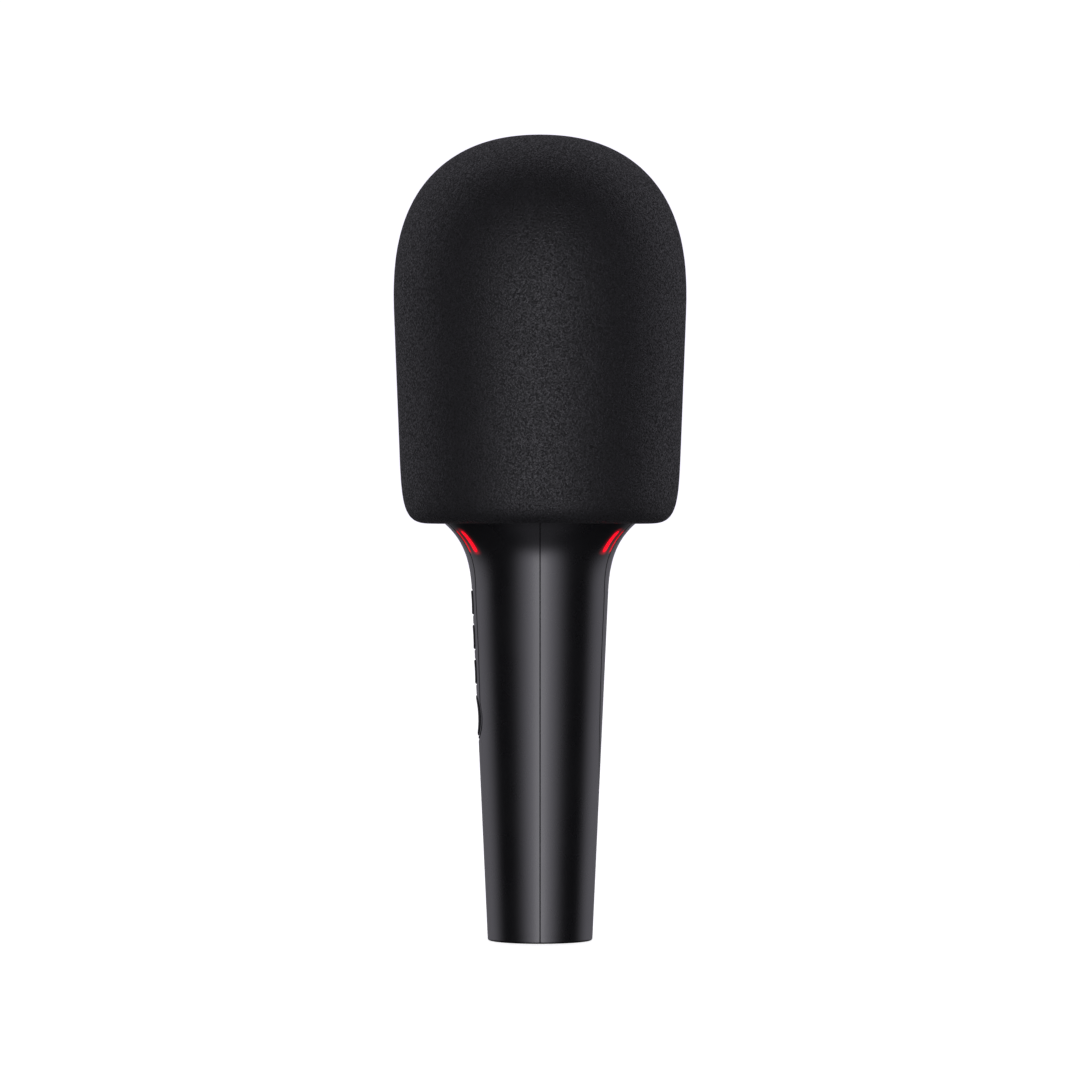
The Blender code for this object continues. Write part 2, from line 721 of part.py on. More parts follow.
def build_electronics(mats, root):
    finish(usb_socket("usb_socket"), mats["steel"], root)
    tongue = box("usb_tongue", (-3.3, 3.3), (-0.35, 0.35), (1.2, 7.6))
    finish(tongue, mats["chip"], root)
    usb_board = box("usb_board", (-6.5, 6.5), (1.9, 2.9), (4.2, 16.5))
    finish(usb_board, mats["board"], root, (0.0, 2.4, 4.2))
    centre = (0.0, CELL_CENTRE, CELL_BOTTOM)
    finish(battery_cell("battery_cell"), mats["cell"], root, centre)
    finish(battery_cradle("battery_cradle"), mats["cradle"], root, (0.0, -6.0, 17.6))
    for name, low in (("battery_tab_bottom", 19.4), ("battery_tab_top", 85.3)):
        tab = box(name, (-3.0, 3.0), (-2.0, 9.0), (low, low + 0.3))
        finish(tab, mats["steel"], root, (0.0, CELL_CENTRE, low))
    middle = (0.0, BOARD_BACK, (BOARD_BOTTOM + BOARD_TOP) / 2)
    finish(main_board("main_board"), mats["board"], root, middle)
    for index, (x, z) in enumerate(BOARD_SCREWS, 1):
        fixing = screw(f"board_screw_{index}", x, z, (1.7, -7.5, -8.7), (0.85, -8.0, -12.5))
        finish(fixing, mats["steel"], root, (x, -8.7, z))
    switches = {key.replace("key", "switch"): z for key, z in KEY_HEIGHTS.items()}
    switches["switch_power"] = BUTTON_HEIGHT
    for name, z in switches.items():
        piece = switch(name, z)
        finish(piece, mats["chip"], root, (0.0, BOARD_FRONT, z))
    module = box("wireless_module", (-6.0, 6.0), (-8.95, -7.2), (84.5, 99.0))
    finish(module, mats["chip"], root, (0.0, BOARD_BACK, 91.75))
    amplifier = box("amplifier_chip", (-3.5, 3.5), (-8.95, -7.9), (66.5, 73.5))
    finish(amplifier, mats["chip"], root, (0.0, BOARD_BACK, 70.0))


def build_speaker(mats, root):
    finish(speaker_frame("speaker_frame"), mats["dark_steel"], root, (0.0, 0.0, 126.0))
    finish(speaker_yoke("speaker_yoke"), mats["steel"], root, (0.0, 0.0, 112.6))
    magnet = turned(
        "speaker_magnet", [(0.0, 114.1), (5.9, 114.1), (5.9, 115.3), (0.0, 115.3)], SMALL_STEPS)
    finish(magnet, mats["steel"], root, (0.0, 0.0, 114.1))
    plate = turned(
        "speaker_pole", [(0.0, 115.6), (6.0, 115.6), (6.0, 117.2), (0.0, 117.2)], SMALL_STEPS)
    finish(plate, mats["steel"], root, (0.0, 0.0, 115.6))
    surround = speaker_surround("speaker_surround")
    finish(surround, mats["rubber"], root, (0.0, 0.0, 127.5))
    cone = finish(speaker_cone("speaker_cone"), mats["paper"], root, (0.0, 0.0, 127.0))
    cap = finish(dust_cap("speaker_dust_cap"), mats["paper"], cone, (0.0, 0.0, 122.0))
    cap.location -= cone.location


def build_head(mats, root):
    finish(grille_collar("grille_collar"), mats["ring"], root, (0.0, 0.0, 131.3))
    finish(grille_side("grille_side"), mats["grille"], root, (0.0, 0.0, 137.3))
    finish(grille_band("grille_band"), mats["ring"], root, (0.0, 0.0, 180.0))
    dome = domed_layer("grille_dome", 182.3, 0.0, BASKET_SHEET)
    finish(dome, mats["grille"], root, (0.0, 0.0, 182.3))
    liner = domed_layer("grille_liner", 184.4, 1.1, 2.0)
    finish(liner, mats["liner"], root, (0.0, 0.0, 184.4))
    finish(capsule_bridge("capsule_bridge"), mats["cradle"], root, (0.0, 0.0, 134.3))
    finish(capsule_holder("capsule_holder"), mats["rubber"], root, (0.0, 0.0, 186.0))
    finish(capsule("capsule"), mats["aluminium"], root, (0.0, 0.0, 188.2))
    face = turned(
        "capsule_face", [(0.0, 203.9), (10.9, 203.9), (10.9, 204.7), (0.0, 204.7)], SMALL_STEPS)
    finish(face, mats["cloth"], root, (0.0, 0.0, 203.9))
    finish(windscreen("windscreen"), mats["foam"], root, (0.0, 0.0, FOAM_BOTTOM))


def main():
    for obj in list(bpy.data.objects):
        bpy.data.objects.remove(obj)
    root = bpy.data.objects.new("microphone", None)
    bpy.context.collection.objects.link(root)
    mats = make_materials()
    build_handle(mats, root)
    build_lights(mats, root)
    build_electronics(mats, root)
    build_speaker(mats, root)
    build_head(mats, root)


main()
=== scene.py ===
"""Karaoke microphone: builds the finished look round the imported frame.

Lengths inside the shape functions are millimetres; each mesh is turned into metres when it is
made. +Z runs up the handle and the keys face -Y.
"""

import json
import math

import bmesh
import bpy
import numpy as np
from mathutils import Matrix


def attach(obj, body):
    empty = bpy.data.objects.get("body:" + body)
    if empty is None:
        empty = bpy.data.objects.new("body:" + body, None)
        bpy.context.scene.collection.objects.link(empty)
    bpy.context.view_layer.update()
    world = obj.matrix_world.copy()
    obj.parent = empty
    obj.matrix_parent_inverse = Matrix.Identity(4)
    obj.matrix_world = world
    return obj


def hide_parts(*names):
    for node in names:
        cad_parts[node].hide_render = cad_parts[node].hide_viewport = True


bl_info = {
    "name": "Karaoke Microphone",
    "version": (1, 0, 0),
    "blender": (4, 5, 0),
    "location": "View3D > Sidebar > Microphone",
    "description": "Builds a handheld karaoke microphone round its packed frame",
    "category": "Object",
}

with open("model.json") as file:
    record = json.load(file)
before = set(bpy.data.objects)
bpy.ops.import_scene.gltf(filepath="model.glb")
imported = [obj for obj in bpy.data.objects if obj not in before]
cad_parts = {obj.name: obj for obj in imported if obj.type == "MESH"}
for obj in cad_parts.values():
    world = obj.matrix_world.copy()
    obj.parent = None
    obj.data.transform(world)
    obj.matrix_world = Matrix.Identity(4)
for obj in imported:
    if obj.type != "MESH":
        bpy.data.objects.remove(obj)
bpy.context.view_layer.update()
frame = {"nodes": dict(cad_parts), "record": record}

MM = 0.001
FRONT = -1
BACK = 1
QUARTER = math.pi / 2
MIX, MIX_A, MIX_B, MIX_OUT = 0, 6, 7, 2  # a colour Mix node's sockets

# The handle's outer surface, as in the frame.
FOOT_RADIUS = 15.62
CONE_SLOPE = 0.04556
FLARE_START = 104.0
RIM_RADIUS = 28.8
RIM_TOP = 131.0
WALL = 2.6
FOOT_LIP = 4.62
SEAM_EDGE, FOOT_EDGE, RIM_EDGE = 0.2, 0.6, 0.3  # rounding of a half's three kinds of edge
FOOT_LIP_TOP = 1.8

# Trim strips.
TRIM_TOP = 127.0
TRIM_WAIST = 92.0
TRIM_TIP = 45.0
TRIM_DEPTH = 1.1
GROOVE_SPARE = 0.25  # how much deeper its groove is than a strip
TRIM_GAP = 0.42
TRIM_EDGE = 0.25
LEDGE = 0.5  # how far the handle reaches under a strip
STRIP_LEVELS = (105.5, 95.55, 85.2, 73.9)  # where the front strip's parts meet
RING_CENTRE = 67.0
RING_JOIN = 3.92  # how far above its centre the ring meets the strip's sides

# Keys.
KEY_CENTRES = {"key_top": 100.7, "key_middle": 90.4, "key_bottom": 80.0}
KEY_HALF = 3.6
KEY_SQUARENESS = 4.6
KEY_GAP = 0.35
HOLE_EDGE = 0.12
BUTTON_RADIUS = 6.0

# Light bars.
BAR_BOTTOM = 115.7
BAR_TOP = 121.9
BARS = {"broad": (12.2, 0.95), "thin": (8.8, 0.42)}  # distance from the middle, half width

# Windscreen.
FOAM_BOTTOM = 124.15
FOAM_TOP = 240.0
FOAM_DOME_BASE = 184.8365
FOAM_CORNER_TOP = 160.0
FOAM_DOME_POWERS = (2.589, 2.2638)  # upward and outward
FOAM_CORNER_POWERS = (7.2, 4.1755)
FOAM_WIDTH = 42.1153  # radius where FOAM_WIDTH_AT is
FOAM_WIDTH_AT = 150.0
FOAM_SPREAD = 0.039  # how much the radius gains for each millimetre upward
FOAM_LIP = 30.0
FOAM_BORE = 29.1
FOAM_BORE_SHOULDER = 190.0
FOAM_BORE_TOP = 226.0

# Grille.
GRILLE_RADIUS = 28.1
GRILLE_SHOULDER = 190.0
GRILLE_TOP = 224.9
GRILLE_POWER = 2.4  # of the dome's superellipse, and the bore's that clears it
DOME_FOOT = 182.4
SIDE_FOOT, SIDE_TOP, SIDE_RINGS = 137.6, 177.5, 18
WIRE = 0.62
WIRE_PITCH = 2.2
WEAVE = 0.28  # how far a wire swings in and out
# (radius, height) round each ring's section, as in the frame.
RINGS = {
    "grille_collar": (
        (24.0, 127.5), (25.9, 127.5), (25.9, 131.3), (28.7, 131.3), (28.7, 137.0),
        (27.3, 137.0), (27.3, 139.5), (25.5, 139.5), (25.5, 134.0), (24.0, 132.0)),
    "grille_band": (
        (25.9, 176.0), (27.3, 176.0), (27.3, 178.0), (28.7, 178.0),
        (28.7, 182.0), (27.3, 182.0), (27.3, 184.0), (25.9, 184.0)),
}

# Foot.
FOOT_DISC = 10.7
FOOT_FLANGE = 12.6

# Studio, in metres. Levels are how bright each part of the room is.
CAMERA_PLACE = (1.5213, -0.00002, 0.1193)
BACKDROP_LEVEL = 1.15
PANEL_LEVEL = 0.95
SCREEN_LEVEL = 2.95
SCREEN_FALL = 2.6  # how fast the screen darkens to each side
TABLE_LEVEL = 0.28


# ---------------------------------------------------------------- mesh tools


def sheet_faces(rows, columns, wrap_rows, wrap_columns, start):
    """Quads of a grid of points, row by row, as indices from start."""
    index = np.arange(rows * columns).reshape(rows, columns) + start
    if wrap_rows:
        index = np.vstack([index, index[:1]])
    if wrap_columns:
        index = np.hstack([index, index[:, :1]])
    corners = (index[:-1, :-1], index[:-1, 1:], index[1:, 1:], index[1:, :-1])
    return np.stack(corners, axis=-1).reshape(-1, 4)


def solid(name, sheets, smooth=40.0, merge=0.0004):
    """One closed mesh from several grids of points in millimetres.

    Each sheet is (points, wrap_rows, wrap_columns). Points that meet are joined, any open end
    is filled with one face, and the faces are turned outward.
    """
    points, faces, count = [], [], 0
    for grid, wrap_rows, wrap_columns in sheets:
        rows, columns = grid.shape[:2]
        points.append(grid.reshape(-1, 3))
        faces.append(sheet_faces(rows, columns, wrap_rows, wrap_columns, count))
        count += rows * columns
    mesh = bpy.data.meshes.new(name)
    mesh.from_pydata(np.vstack(points) * MM, [], np.vstack(faces).tolist())
    bm = bmesh.new()
    bm.from_mesh(mesh)
    bmesh.ops.remove_doubles(bm, verts=bm.verts, dist=merge * MM)
    bmesh.ops.dissolve_degenerate(bm, edges=bm.edges, dist=1e-8)
    open_edges = [e for e in bm.edges if e.is_boundary]
    if open_edges:
        bmesh.ops.holes_fill(bm, edges=open_edges, sides=0)
    bmesh.ops.recalc_face_normals(bm, faces=bm.faces)
    bm.to_mesh(mesh)
    bm.free()
    mesh.shade_smooth()
    mesh.set_sharp_from_angle(angle=math.radians(smooth))
    obj = bpy.data.objects.new(name, mesh)
    bpy.context.scene.collection.objects.link(obj)
    return obj


def even_normals(obj):
    """Weights a piece's shading by face area, so that its small rounded edges don't pull it."""
    step = obj.modifiers.new("Even shading", "WEIGHTED_NORMAL")
    step.keep_sharp = True
    return obj


def join(obj, surface, body, slot, *nodes):
    """Gives a piece its material and its body, and hides the frame nodes it stands for; slot is not
    used.
    """
    obj.data.materials.append(surface)
    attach(obj, body)
    if nodes:
        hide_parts(*nodes)
    return obj


# ---------------------------------------------------------------- shapes


def body_radius(z):
    """Radius of the handle: a straight cone, plus a square and a fourth power of the height
    above the start of the flare, held at the rim's radius."""
    rise = np.clip(np.asarray(z, float) - FLARE_START, 0.0, None)
    radius = FOOT_RADIUS + CONE_SLOPE * np.asarray(z, float)
    return np.minimum(RIM_RADIUS, radius + 0.00828 * rise**2 + 2.3e-5 * rise**4)


def on_body(x, z, depth, side):
    """Points on the handle's front or back, from their sideways place x and height z.

    y is the root of (radius + depth) squared less x squared, so walls run straight along Y.
    """
    x, z, depth = np.broadcast_arrays(x, z, depth)
    reach = np.clip((body_radius(z) + depth) ** 2 - x**2, 0.0, None)
    return np.stack([x, side * np.sqrt(reach), z], axis=-1)


def round_body(angle, z, depth, side):
    """Points on the handle from the angle off its front or back line, and the height."""
    angle, z, depth = np.broadcast_arrays(angle, z, depth)
    radius = body_radius(z) + depth
    return np.stack([radius * np.sin(angle), side * radius * np.cos(angle), z], axis=-1)


def trim_width(z):
    """Half the width of a trim strip: a power curve down to its tip, and a smooth step
    outward at the neck."""
    z = np.asarray(z, float)
    down = np.clip((TRIM_WAIST - z) / (TRIM_WAIST - TRIM_TIP), 0.0, 1.0)
    up = np.clip((z - 101.0) / 14.0, 0.0, 1.0)
    return 6.7 * (1.0 - down**1.6) ** 0.45 + 1.3 * up * up * (3.0 - 2.0 * up)


def rounding(edge, points=4):
    """A quarter circle over an edge: (how far inside the edge, depth) from top to side."""
    angle = np.linspace(0.0, QUARTER, points)
    return np.stack([edge * (1.0 - np.sin(angle)), -edge * (1.0 - np.cos(angle))], axis=-1)


def offset(loop, amount):
    """Moves a closed loop of (x, z) points outward along its normals."""
    along = np.roll(loop, -1, axis=0) - np.roll(loop, 1, axis=0)
    normal = np.stack([along[:, 1], -along[:, 0]], axis=-1)
    normal /= np.linalg.norm(normal, axis=1, keepdims=True)
    return loop + normal * amount


def side_heights(low, high, count=150):
    """Heights down a strip's side, closer together in the flare."""
    flare = np.linspace(high, FLARE_START - 4.0, 70, endpoint=False)
    return np.concatenate([flare, np.linspace(FLARE_START - 4.0, low, count - 70)])


def tip_heights(count=48):
    """Heights round the back strip's tip, as a sine, so that they crowd towards its point."""
    return 60.0 - (60.0 - TRIM_TIP) * np.sin(np.linspace(0.0, QUARTER, count + 1))[1:]


def trim_loop(side, foot_points=97):
    """The outline of a trim strip: down the left side, round the bottom, up the right side
    and back along the top. Returns (x, z) points and how many lie on each stretch."""
    if side == FRONT:
        join_angle = math.atan2(RING_JOIN, float(trim_width(RING_CENTRE + RING_JOIN)))
        left = side_heights(RING_CENTRE + RING_JOIN, TRIM_TOP)
        sweep = np.linspace(math.pi - join_angle, math.tau + join_angle, foot_points)[1:-1]
        radius = math.hypot(RING_JOIN, float(trim_width(RING_CENTRE + RING_JOIN)))
        bottom = np.stack(
            [radius * np.cos(sweep), RING_CENTRE + radius * np.sin(sweep)], axis=-1
        )
    else:
        left = side_heights(60.0, TRIM_TOP)
        half = tip_heights()
        x = trim_width(half)
        bottom = np.vstack([
            np.stack([-x, half], axis=-1), np.stack([x, half], axis=-1)[-2::-1]
        ])
    width = trim_width(left)
    down = np.stack([-width, left], axis=-1)
    up = np.stack([width, left], axis=-1)[::-1]
    top_x = np.linspace(width[0], -width[0], 42)[1:-1]
    top = np.stack([top_x, np.full_like(top_x, TRIM_TOP)], axis=-1)
    return np.vstack([down, bottom, up, top]), (len(down), len(bottom), len(up), len(top))


def half_loop(counts, inner, seam, foot, rim):
    """The outer boundary of one handle half as (angle, z), matched to a trim strip's loop.

    seam, foot and rim are how far the boundary is drawn in at each.
    """
    down, bottom, up, top = counts
    low = inner[down - 1, 1]
    z = np.interp(inner[:down, 1], [low, FLARE_START, TRIM_TOP], [foot, FLARE_START, RIM_TOP - rim])
    angle = QUARTER - seam / body_radius(z)
    left = np.stack([-angle, z], axis=-1)
    right = np.stack([angle, z], axis=-1)[::-1]
    sweep = np.linspace(-angle[-1], angle[-1], bottom + 2)[1:-1]
    base = np.stack([sweep, np.full(bottom, foot)], axis=-1)
    sweep = np.linspace(angle[0], -angle[0], top + 2)[1:-1]
    head = np.stack([sweep, np.full(top, RIM_TOP - rim)], axis=-1)
    return np.vstack([left, base, right, head])


def handle_half(name, side):
    """One moulded half: a section carried round the loop between its trim strip and its rim.

    Across the half a point runs straight, in angle and height, from the strip's outline to the
    seam, foot or rim; then comes the rounded edge, the wall, the inner surface, and the ledge
    that the strip lies on.
    """
    base, counts = trim_loop(side)
    down, bottom = counts[0], counts[1]
    at_foot = np.zeros(len(base))
    at_foot[down - 1:down + bottom + 1] = 1.0
    at_rim = np.zeros(len(base))
    at_rim[sum(counts[:3]) - 1:] = 1.0
    at_rim[0] = 1.0
    edge = SEAM_EDGE + (FOOT_EDGE - SEAM_EDGE) * at_foot + (RIM_EDGE - SEAM_EDGE) * at_rim

    def from_loop(loop, depth):
        angle = np.arcsin(loop[:, 0] / (body_radius(loop[:, 1]) + depth))
        return round_body(angle, loop[:, 1], depth, side)

    def outer(share, lift=0.0):
        """The boundary drawn in by a share of each edge's own rounding."""
        loops = half_loop(
            counts, base, SEAM_EDGE * share, FOOT_EDGE * share + lift, RIM_EDGE * share)
        return loops[:, 0], loops[:, 1]

    rows = []
    start = offset(base, TRIM_GAP + TRIM_EDGE)
    start_angle = np.arcsin(start[:, 0] / body_radius(start[:, 1]))
    end_angle, end_z = outer(1.0)
    span = np.linspace(0.0, 1.0, 44)
    span = np.sort(np.concatenate([span, [0.004, 0.012, 0.988, 0.996]]))
    for t in span:
        angle = (1.0 - t) * start_angle + t * end_angle
        z = (1.0 - t) * start[:, 1] + t * end_z
        rows.append(round_body(angle, z, 0.0, side))
    for inset, depth in rounding(1.0, 5)[1:]:
        angle, z = outer(inset)
        rows.append(round_body(angle, z, depth * edge, side))
    angle, z = outer(0.0)
    lip = WALL + (FOOT_LIP - WALL) * at_foot
    rows.append(round_body(angle, z, -lip, side))
    angle, z = outer(0.0, FOOT_LIP_TOP)
    rows.append(round_body(angle, z, -lip, side))
    ledge = offset(base, -LEDGE)
    ledge_angle = np.arcsin(ledge[:, 0] / (body_radius(ledge[:, 1]) - WALL))
    for t in np.linspace(1.0, 0.0, 14):
        inner_angle = (1.0 - t) * ledge_angle + t * angle
        inner_z = (1.0 - t) * ledge[:, 1] + t * z
        rows.append(round_body(inner_angle, inner_z, -WALL, side))
    rows.append(from_loop(ledge, -TRIM_DEPTH - GROOVE_SPARE))
    rows.append(from_loop(offset(base, TRIM_GAP), -TRIM_DEPTH - GROOVE_SPARE))
    for inset, depth in rounding(TRIM_EDGE)[:0:-1]:
        rows.append(from_loop(offset(base, TRIM_GAP + inset), depth))
    return even_normals(solid(name, [(np.stack(rows), True, True)]))


def inlay(centre, heights, half, side, proud, crown, edge, thickness):
    """The grid of a strip let into the handle: a rounded section carried up the heights.

    Across it runs from one edge to the other, and its middle stands crown above its edges.
    half is half the strip's width at each height.
    """
    x_rows, depth_rows = [], []
    soft = np.minimum(edge, 0.45 * half)
    quarter = rounding(1.0)
    for inset, depth in quarter[::-1]:
        x_rows.append(-(half - inset * soft))
        depth_rows.append(proud + depth * soft)
    for u in np.linspace(-1.0, 1.0, 27)[1:-1]:
        x_rows.append(u * (half - soft))
        depth_rows.append(proud + crown * (1.0 - u * u) * np.minimum(1.0, half))
    for inset, depth in quarter:
        x_rows.append(half - inset * soft)
        depth_rows.append(proud + depth * soft)
    for u in np.linspace(1.0, -1.0, 9):
        x_rows.append(u * half)
        depth_rows.append(np.full_like(half, -thickness))
    x = centre + np.stack(x_rows)
    return on_body(x, heights[None, :], np.stack(depth_rows), side), True, False


def squircle(across, up, half, power):
    """Points of a rounded square (or, at power 2, a circle) in the given directions.

    Its outline is where |x/half| and |z/half|, each raised to the power, add up to one.
    """
    size = (np.abs(across) ** power + np.abs(up) ** power) ** (1.0 / power)
    return half * across / size, half * up / size


def cell(outer, flat, centre, half, power):
    """One part of the front strip with a hole in it, as a grid.

    outer is the part's boundary at the surface and flat its boundary underneath. Each boundary
    point is joined straight to the hole's outline in the same direction from the centre.
    """
    rows = []

    def ring(loop, grow, t, depth):
        x, up = squircle(flat[:, 0], flat[:, 1] - centre, half, power)
        x, up = x * (1.0 + grow / half), up * (1.0 + grow / half)
        across = (1.0 - t) * loop[:, 0] + t * x
        z = (1.0 - t) * loop[:, 1] + t * (centre + up)
        rows.append(on_body(across, z, depth, FRONT))

    for t in np.concatenate([np.linspace(0.0, 0.96, 9), [1.0]]):
        ring(outer, HOLE_EDGE, t, 0.0)
    for inset, depth in rounding(HOLE_EDGE)[1:]:
        ring(outer, inset, 1.0, depth)
    for t in (1.0, 0.5, 0.0):
        ring(flat, 0.0, t, -TRIM_DEPTH)
    return np.stack(rows)


def front_strip(name):
    """The front trim strip: a plain neck, three parts with a key's hole, and the ring."""
    edge = TRIM_EDGE
    across = np.linspace(-1.0, 1.0, 33)
    walls = [np.linspace(TRIM_TOP, STRIP_LEVELS[0], 76)[:-1]]
    sheets = []

    def level(z, inset):
        return np.stack([across * (trim_width(z) - inset), np.full(33, z)], axis=-1)

    def sides(heights, inset):
        width = trim_width(heights) - inset
        left = np.stack([-width, heights], axis=-1)
        return left, np.stack([width, heights], axis=-1)[::-1]

    def arc(inset):
        x, up = float(trim_width(RING_CENTRE + RING_JOIN)), RING_JOIN
        turn = math.atan2(up, x)
        sweep = np.linspace(math.pi - turn, math.tau + turn, 81)[1:-1]
        radius = math.hypot(x, up) - inset
        return np.stack([radius * np.cos(sweep), RING_CENTRE + radius * np.sin(sweep)], -1)

    neck = walls[0]
    for inset, depth in ((edge, 0.0), (0.0, -TRIM_DEPTH)):
        heights = np.append(neck, STRIP_LEVELS[0])
        width = trim_width(heights) - inset
        x = across[None, :] * width[:, None]
        sheets.append((on_body(x, heights[:, None], depth, FRONT), False, False))
    for (high, low), centre in zip(zip(STRIP_LEVELS, STRIP_LEVELS[1:]), KEY_CENTRES.values()):
        heights = np.linspace(high, low, 25)
        walls.append(heights[:-1])
        loops = []
        for inset in (edge, 0.0):
            left, right = sides(heights, inset)
            loops.append(np.vstack([
                left, level(low, inset)[1:-1], right, level(high, inset)[-2:0:-1]
            ]))
        hole = cell(loops[0], loops[1], centre, KEY_HALF + KEY_GAP, KEY_SQUARENESS)
        sheets.append((hole, False, True))
    heights = np.linspace(STRIP_LEVELS[-1], RING_CENTRE + RING_JOIN, 9)
    walls.append(heights)
    loops = []
    for inset in (edge, 0.0):
        left, right = sides(heights, inset)
        top = level(STRIP_LEVELS[-1], inset)[-2:0:-1]
        loops.append(np.vstack([left, arc(inset), right, top]))
    hole = cell(loops[0], loops[1], RING_CENTRE, BUTTON_RADIUS + KEY_GAP, 2.0)
    sheets.append((hole, False, True))
    rim = []
    heights = np.concatenate(walls)
    for inset, depth in list(rounding(edge)) + [(0.0, -TRIM_DEPTH)]:
        left, right = sides(heights, inset)
        path = np.vstack([left, arc(inset), right])
        rim.append(on_body(path[:, 0], path[:, 1], depth, FRONT))
    sheets.append((np.stack(rim), False, False))
    return even_normals(solid(name, sheets, merge=0.002))


def push_button(name, centre, half, power, proud, dish, edge, back):
    """A key or button: rings from its middle to its edge, over the edge and back inside.

    The top follows the handle's surface, raised by proud and hollowed by dish in the middle.
    """
    turn = np.linspace(0.0, math.tau, 96, endpoint=False)
    x, up = squircle(np.cos(turn), np.sin(turn), 1.0, power)
    rows = []
    for share in (0.01, 0.15, 0.3, 0.45, 0.6, 0.72, 0.82, 0.9, 0.95, 0.98, 1.0):
        reach = share * (half - edge)
        hollow = dish * np.clip(1.0 - (share / 0.9) ** 2, 0.0, 1.0)
        rows.append(on_body(reach * x, centre + reach * up, proud - hollow, FRONT))
    for inset, depth in rounding(edge, 5)[1:]:
        reach = half - inset
        rows.append(on_body(reach * x, centre + reach * up, proud + depth, FRONT))
    deep = rows[-1].copy()
    deep[:, 1] = back
    rows.append(deep)
    return even_normals(solid(name, [(np.stack(rows), False, True)]))


def turned(name, profile, closed, segments=128, smooth=40.0):
    """A profile of (radius, z) points turned round the axis."""
    turn = np.linspace(0.0, math.tau, segments, endpoint=False)
    radius, z = profile[:, 0, None], profile[:, 1, None]
    grid = np.stack([
        radius * np.cos(turn), radius * np.sin(turn), np.broadcast_to(z, (len(z), segments))
    ], axis=-1)
    return solid(name, [(grid, closed, True)], smooth)


def softened(outline, size):
    """A closed outline of (radius, z) points with its corners rounded.

    Each corner becomes a quadratic curve that starts and ends a short way along its two sides.
    """
    corner = np.asarray(outline, float)
    before, after = np.roll(corner, 1, axis=0) - corner, np.roll(corner, -1, axis=0) - corner
    near, far = (
        corner + side * np.minimum(0.4, size / np.linalg.norm(side, axis=1))[:, None]
        for side in (before, after)
    )
    t = np.linspace(0.0, 1.0, 5)[None, :, None]
    bend = near[:, None] * (1.0 - t) ** 2 + corner[:, None] * 2.0 * t * (1.0 - t)
    return (bend + far[:, None] * t**2).reshape(-1, 2)


def foam_profile():
    """Half the windscreen's section, from the top of the dome, down the outside, under the
    lip and up the bore. The dome and the lower corner are superellipses laid on a slight cone.
    """
    up, out = FOAM_DOME_POWERS
    down, tuck = FOAM_CORNER_POWERS
    z = []
    turn = np.linspace(QUARTER, 0.0, 110, endpoint=False)
    z.append(FOAM_DOME_BASE + (FOAM_TOP - FOAM_DOME_BASE) * np.sin(turn) ** (2 / up))
    z.append(np.linspace(FOAM_DOME_BASE, FOAM_CORNER_TOP, 20, endpoint=False))
    turn = np.linspace(0.0, QUARTER, 60)
    fall = (FOAM_CORNER_TOP - FOAM_BOTTOM) * np.sin(turn) ** (2 / down)
    z.append(FOAM_CORNER_TOP - fall)
    z = np.concatenate(z)
    dome = np.clip((z - FOAM_DOME_BASE) / (FOAM_TOP - FOAM_DOME_BASE), 0.0, 1.0)
    corner = np.clip((FOAM_CORNER_TOP - z) / (FOAM_CORNER_TOP - FOAM_BOTTOM), 0.0, 1.0)
    straight = FOAM_WIDTH + FOAM_SPREAD * (z - FOAM_WIDTH_AT)
    radius = straight * (1.0 - dome**up) ** (1 / out)
    radius = FOAM_LIP + (radius - FOAM_LIP) * (1.0 - corner**down) ** (1 / tuck)
    radius[0] = 0.0
    outside = np.stack([radius, z], axis=-1)
    lip = np.array([[29.6, FOAM_BOTTOM], [29.2, FOAM_BOTTOM + 0.1], [FOAM_BORE, FOAM_BOTTOM + 0.5]])
    turn = np.linspace(0.0, QUARTER, 24)
    bore = np.stack([
        FOAM_BORE * np.cos(turn) ** (2 / GRILLE_POWER),
        FOAM_BORE_SHOULDER + (FOAM_BORE_TOP - FOAM_BORE_SHOULDER) * np.sin(turn) ** (2 / GRILLE_POWER),
    ], axis=-1)
    bore[-1, 0] = 0.0
    return np.vstack([outside, lip, bore])


def foot_cap(name):
    """The round foot: rings from the charging slot's outline out to its flange and back.

    In each direction the slot's edge is either its flat side or the round end, a circle about
    a point off the middle.
    """
    turn = np.linspace(0.0, math.tau, 144, endpoint=False)
    c, s = np.cos(turn), np.sin(turn)
    straight, end = 2.95, 1.95
    flat = end / np.maximum(np.abs(s), 1e-9)
    lead = straight * np.abs(c)
    bow = lead + np.sqrt(np.clip(lead**2 - straight**2 + end**2, 0.0, None))
    slot = np.where(flat * np.abs(c) <= straight, flat, bow)

    def ring(radius, z):
        return np.stack([radius * c, radius * s, np.full(len(turn), z)], axis=-1)

    rows = [ring(slot, 2.0), ring(slot, 0.3), ring(slot + 0.1, 0.1), ring(slot + 0.3, 0.0)]
    for t in (0.25, 0.5, 0.75, 0.95):
        rows.append(ring((1.0 - t) * (slot + 0.3) + t * (FOOT_DISC - 0.25), 0.0))
    rows += [ring(FOOT_DISC - 0.25, 0.0), ring(FOOT_DISC - 0.1, 0.08)]
    rows += [ring(FOOT_DISC, 0.25), ring(FOOT_DISC, 2.15)]
    rows += [ring(FOOT_FLANGE, 2.15), ring(FOOT_FLANGE, 3.7), ring(slot, 3.7)]
    return even_normals(solid(name, [(np.stack(rows), True, True)]))


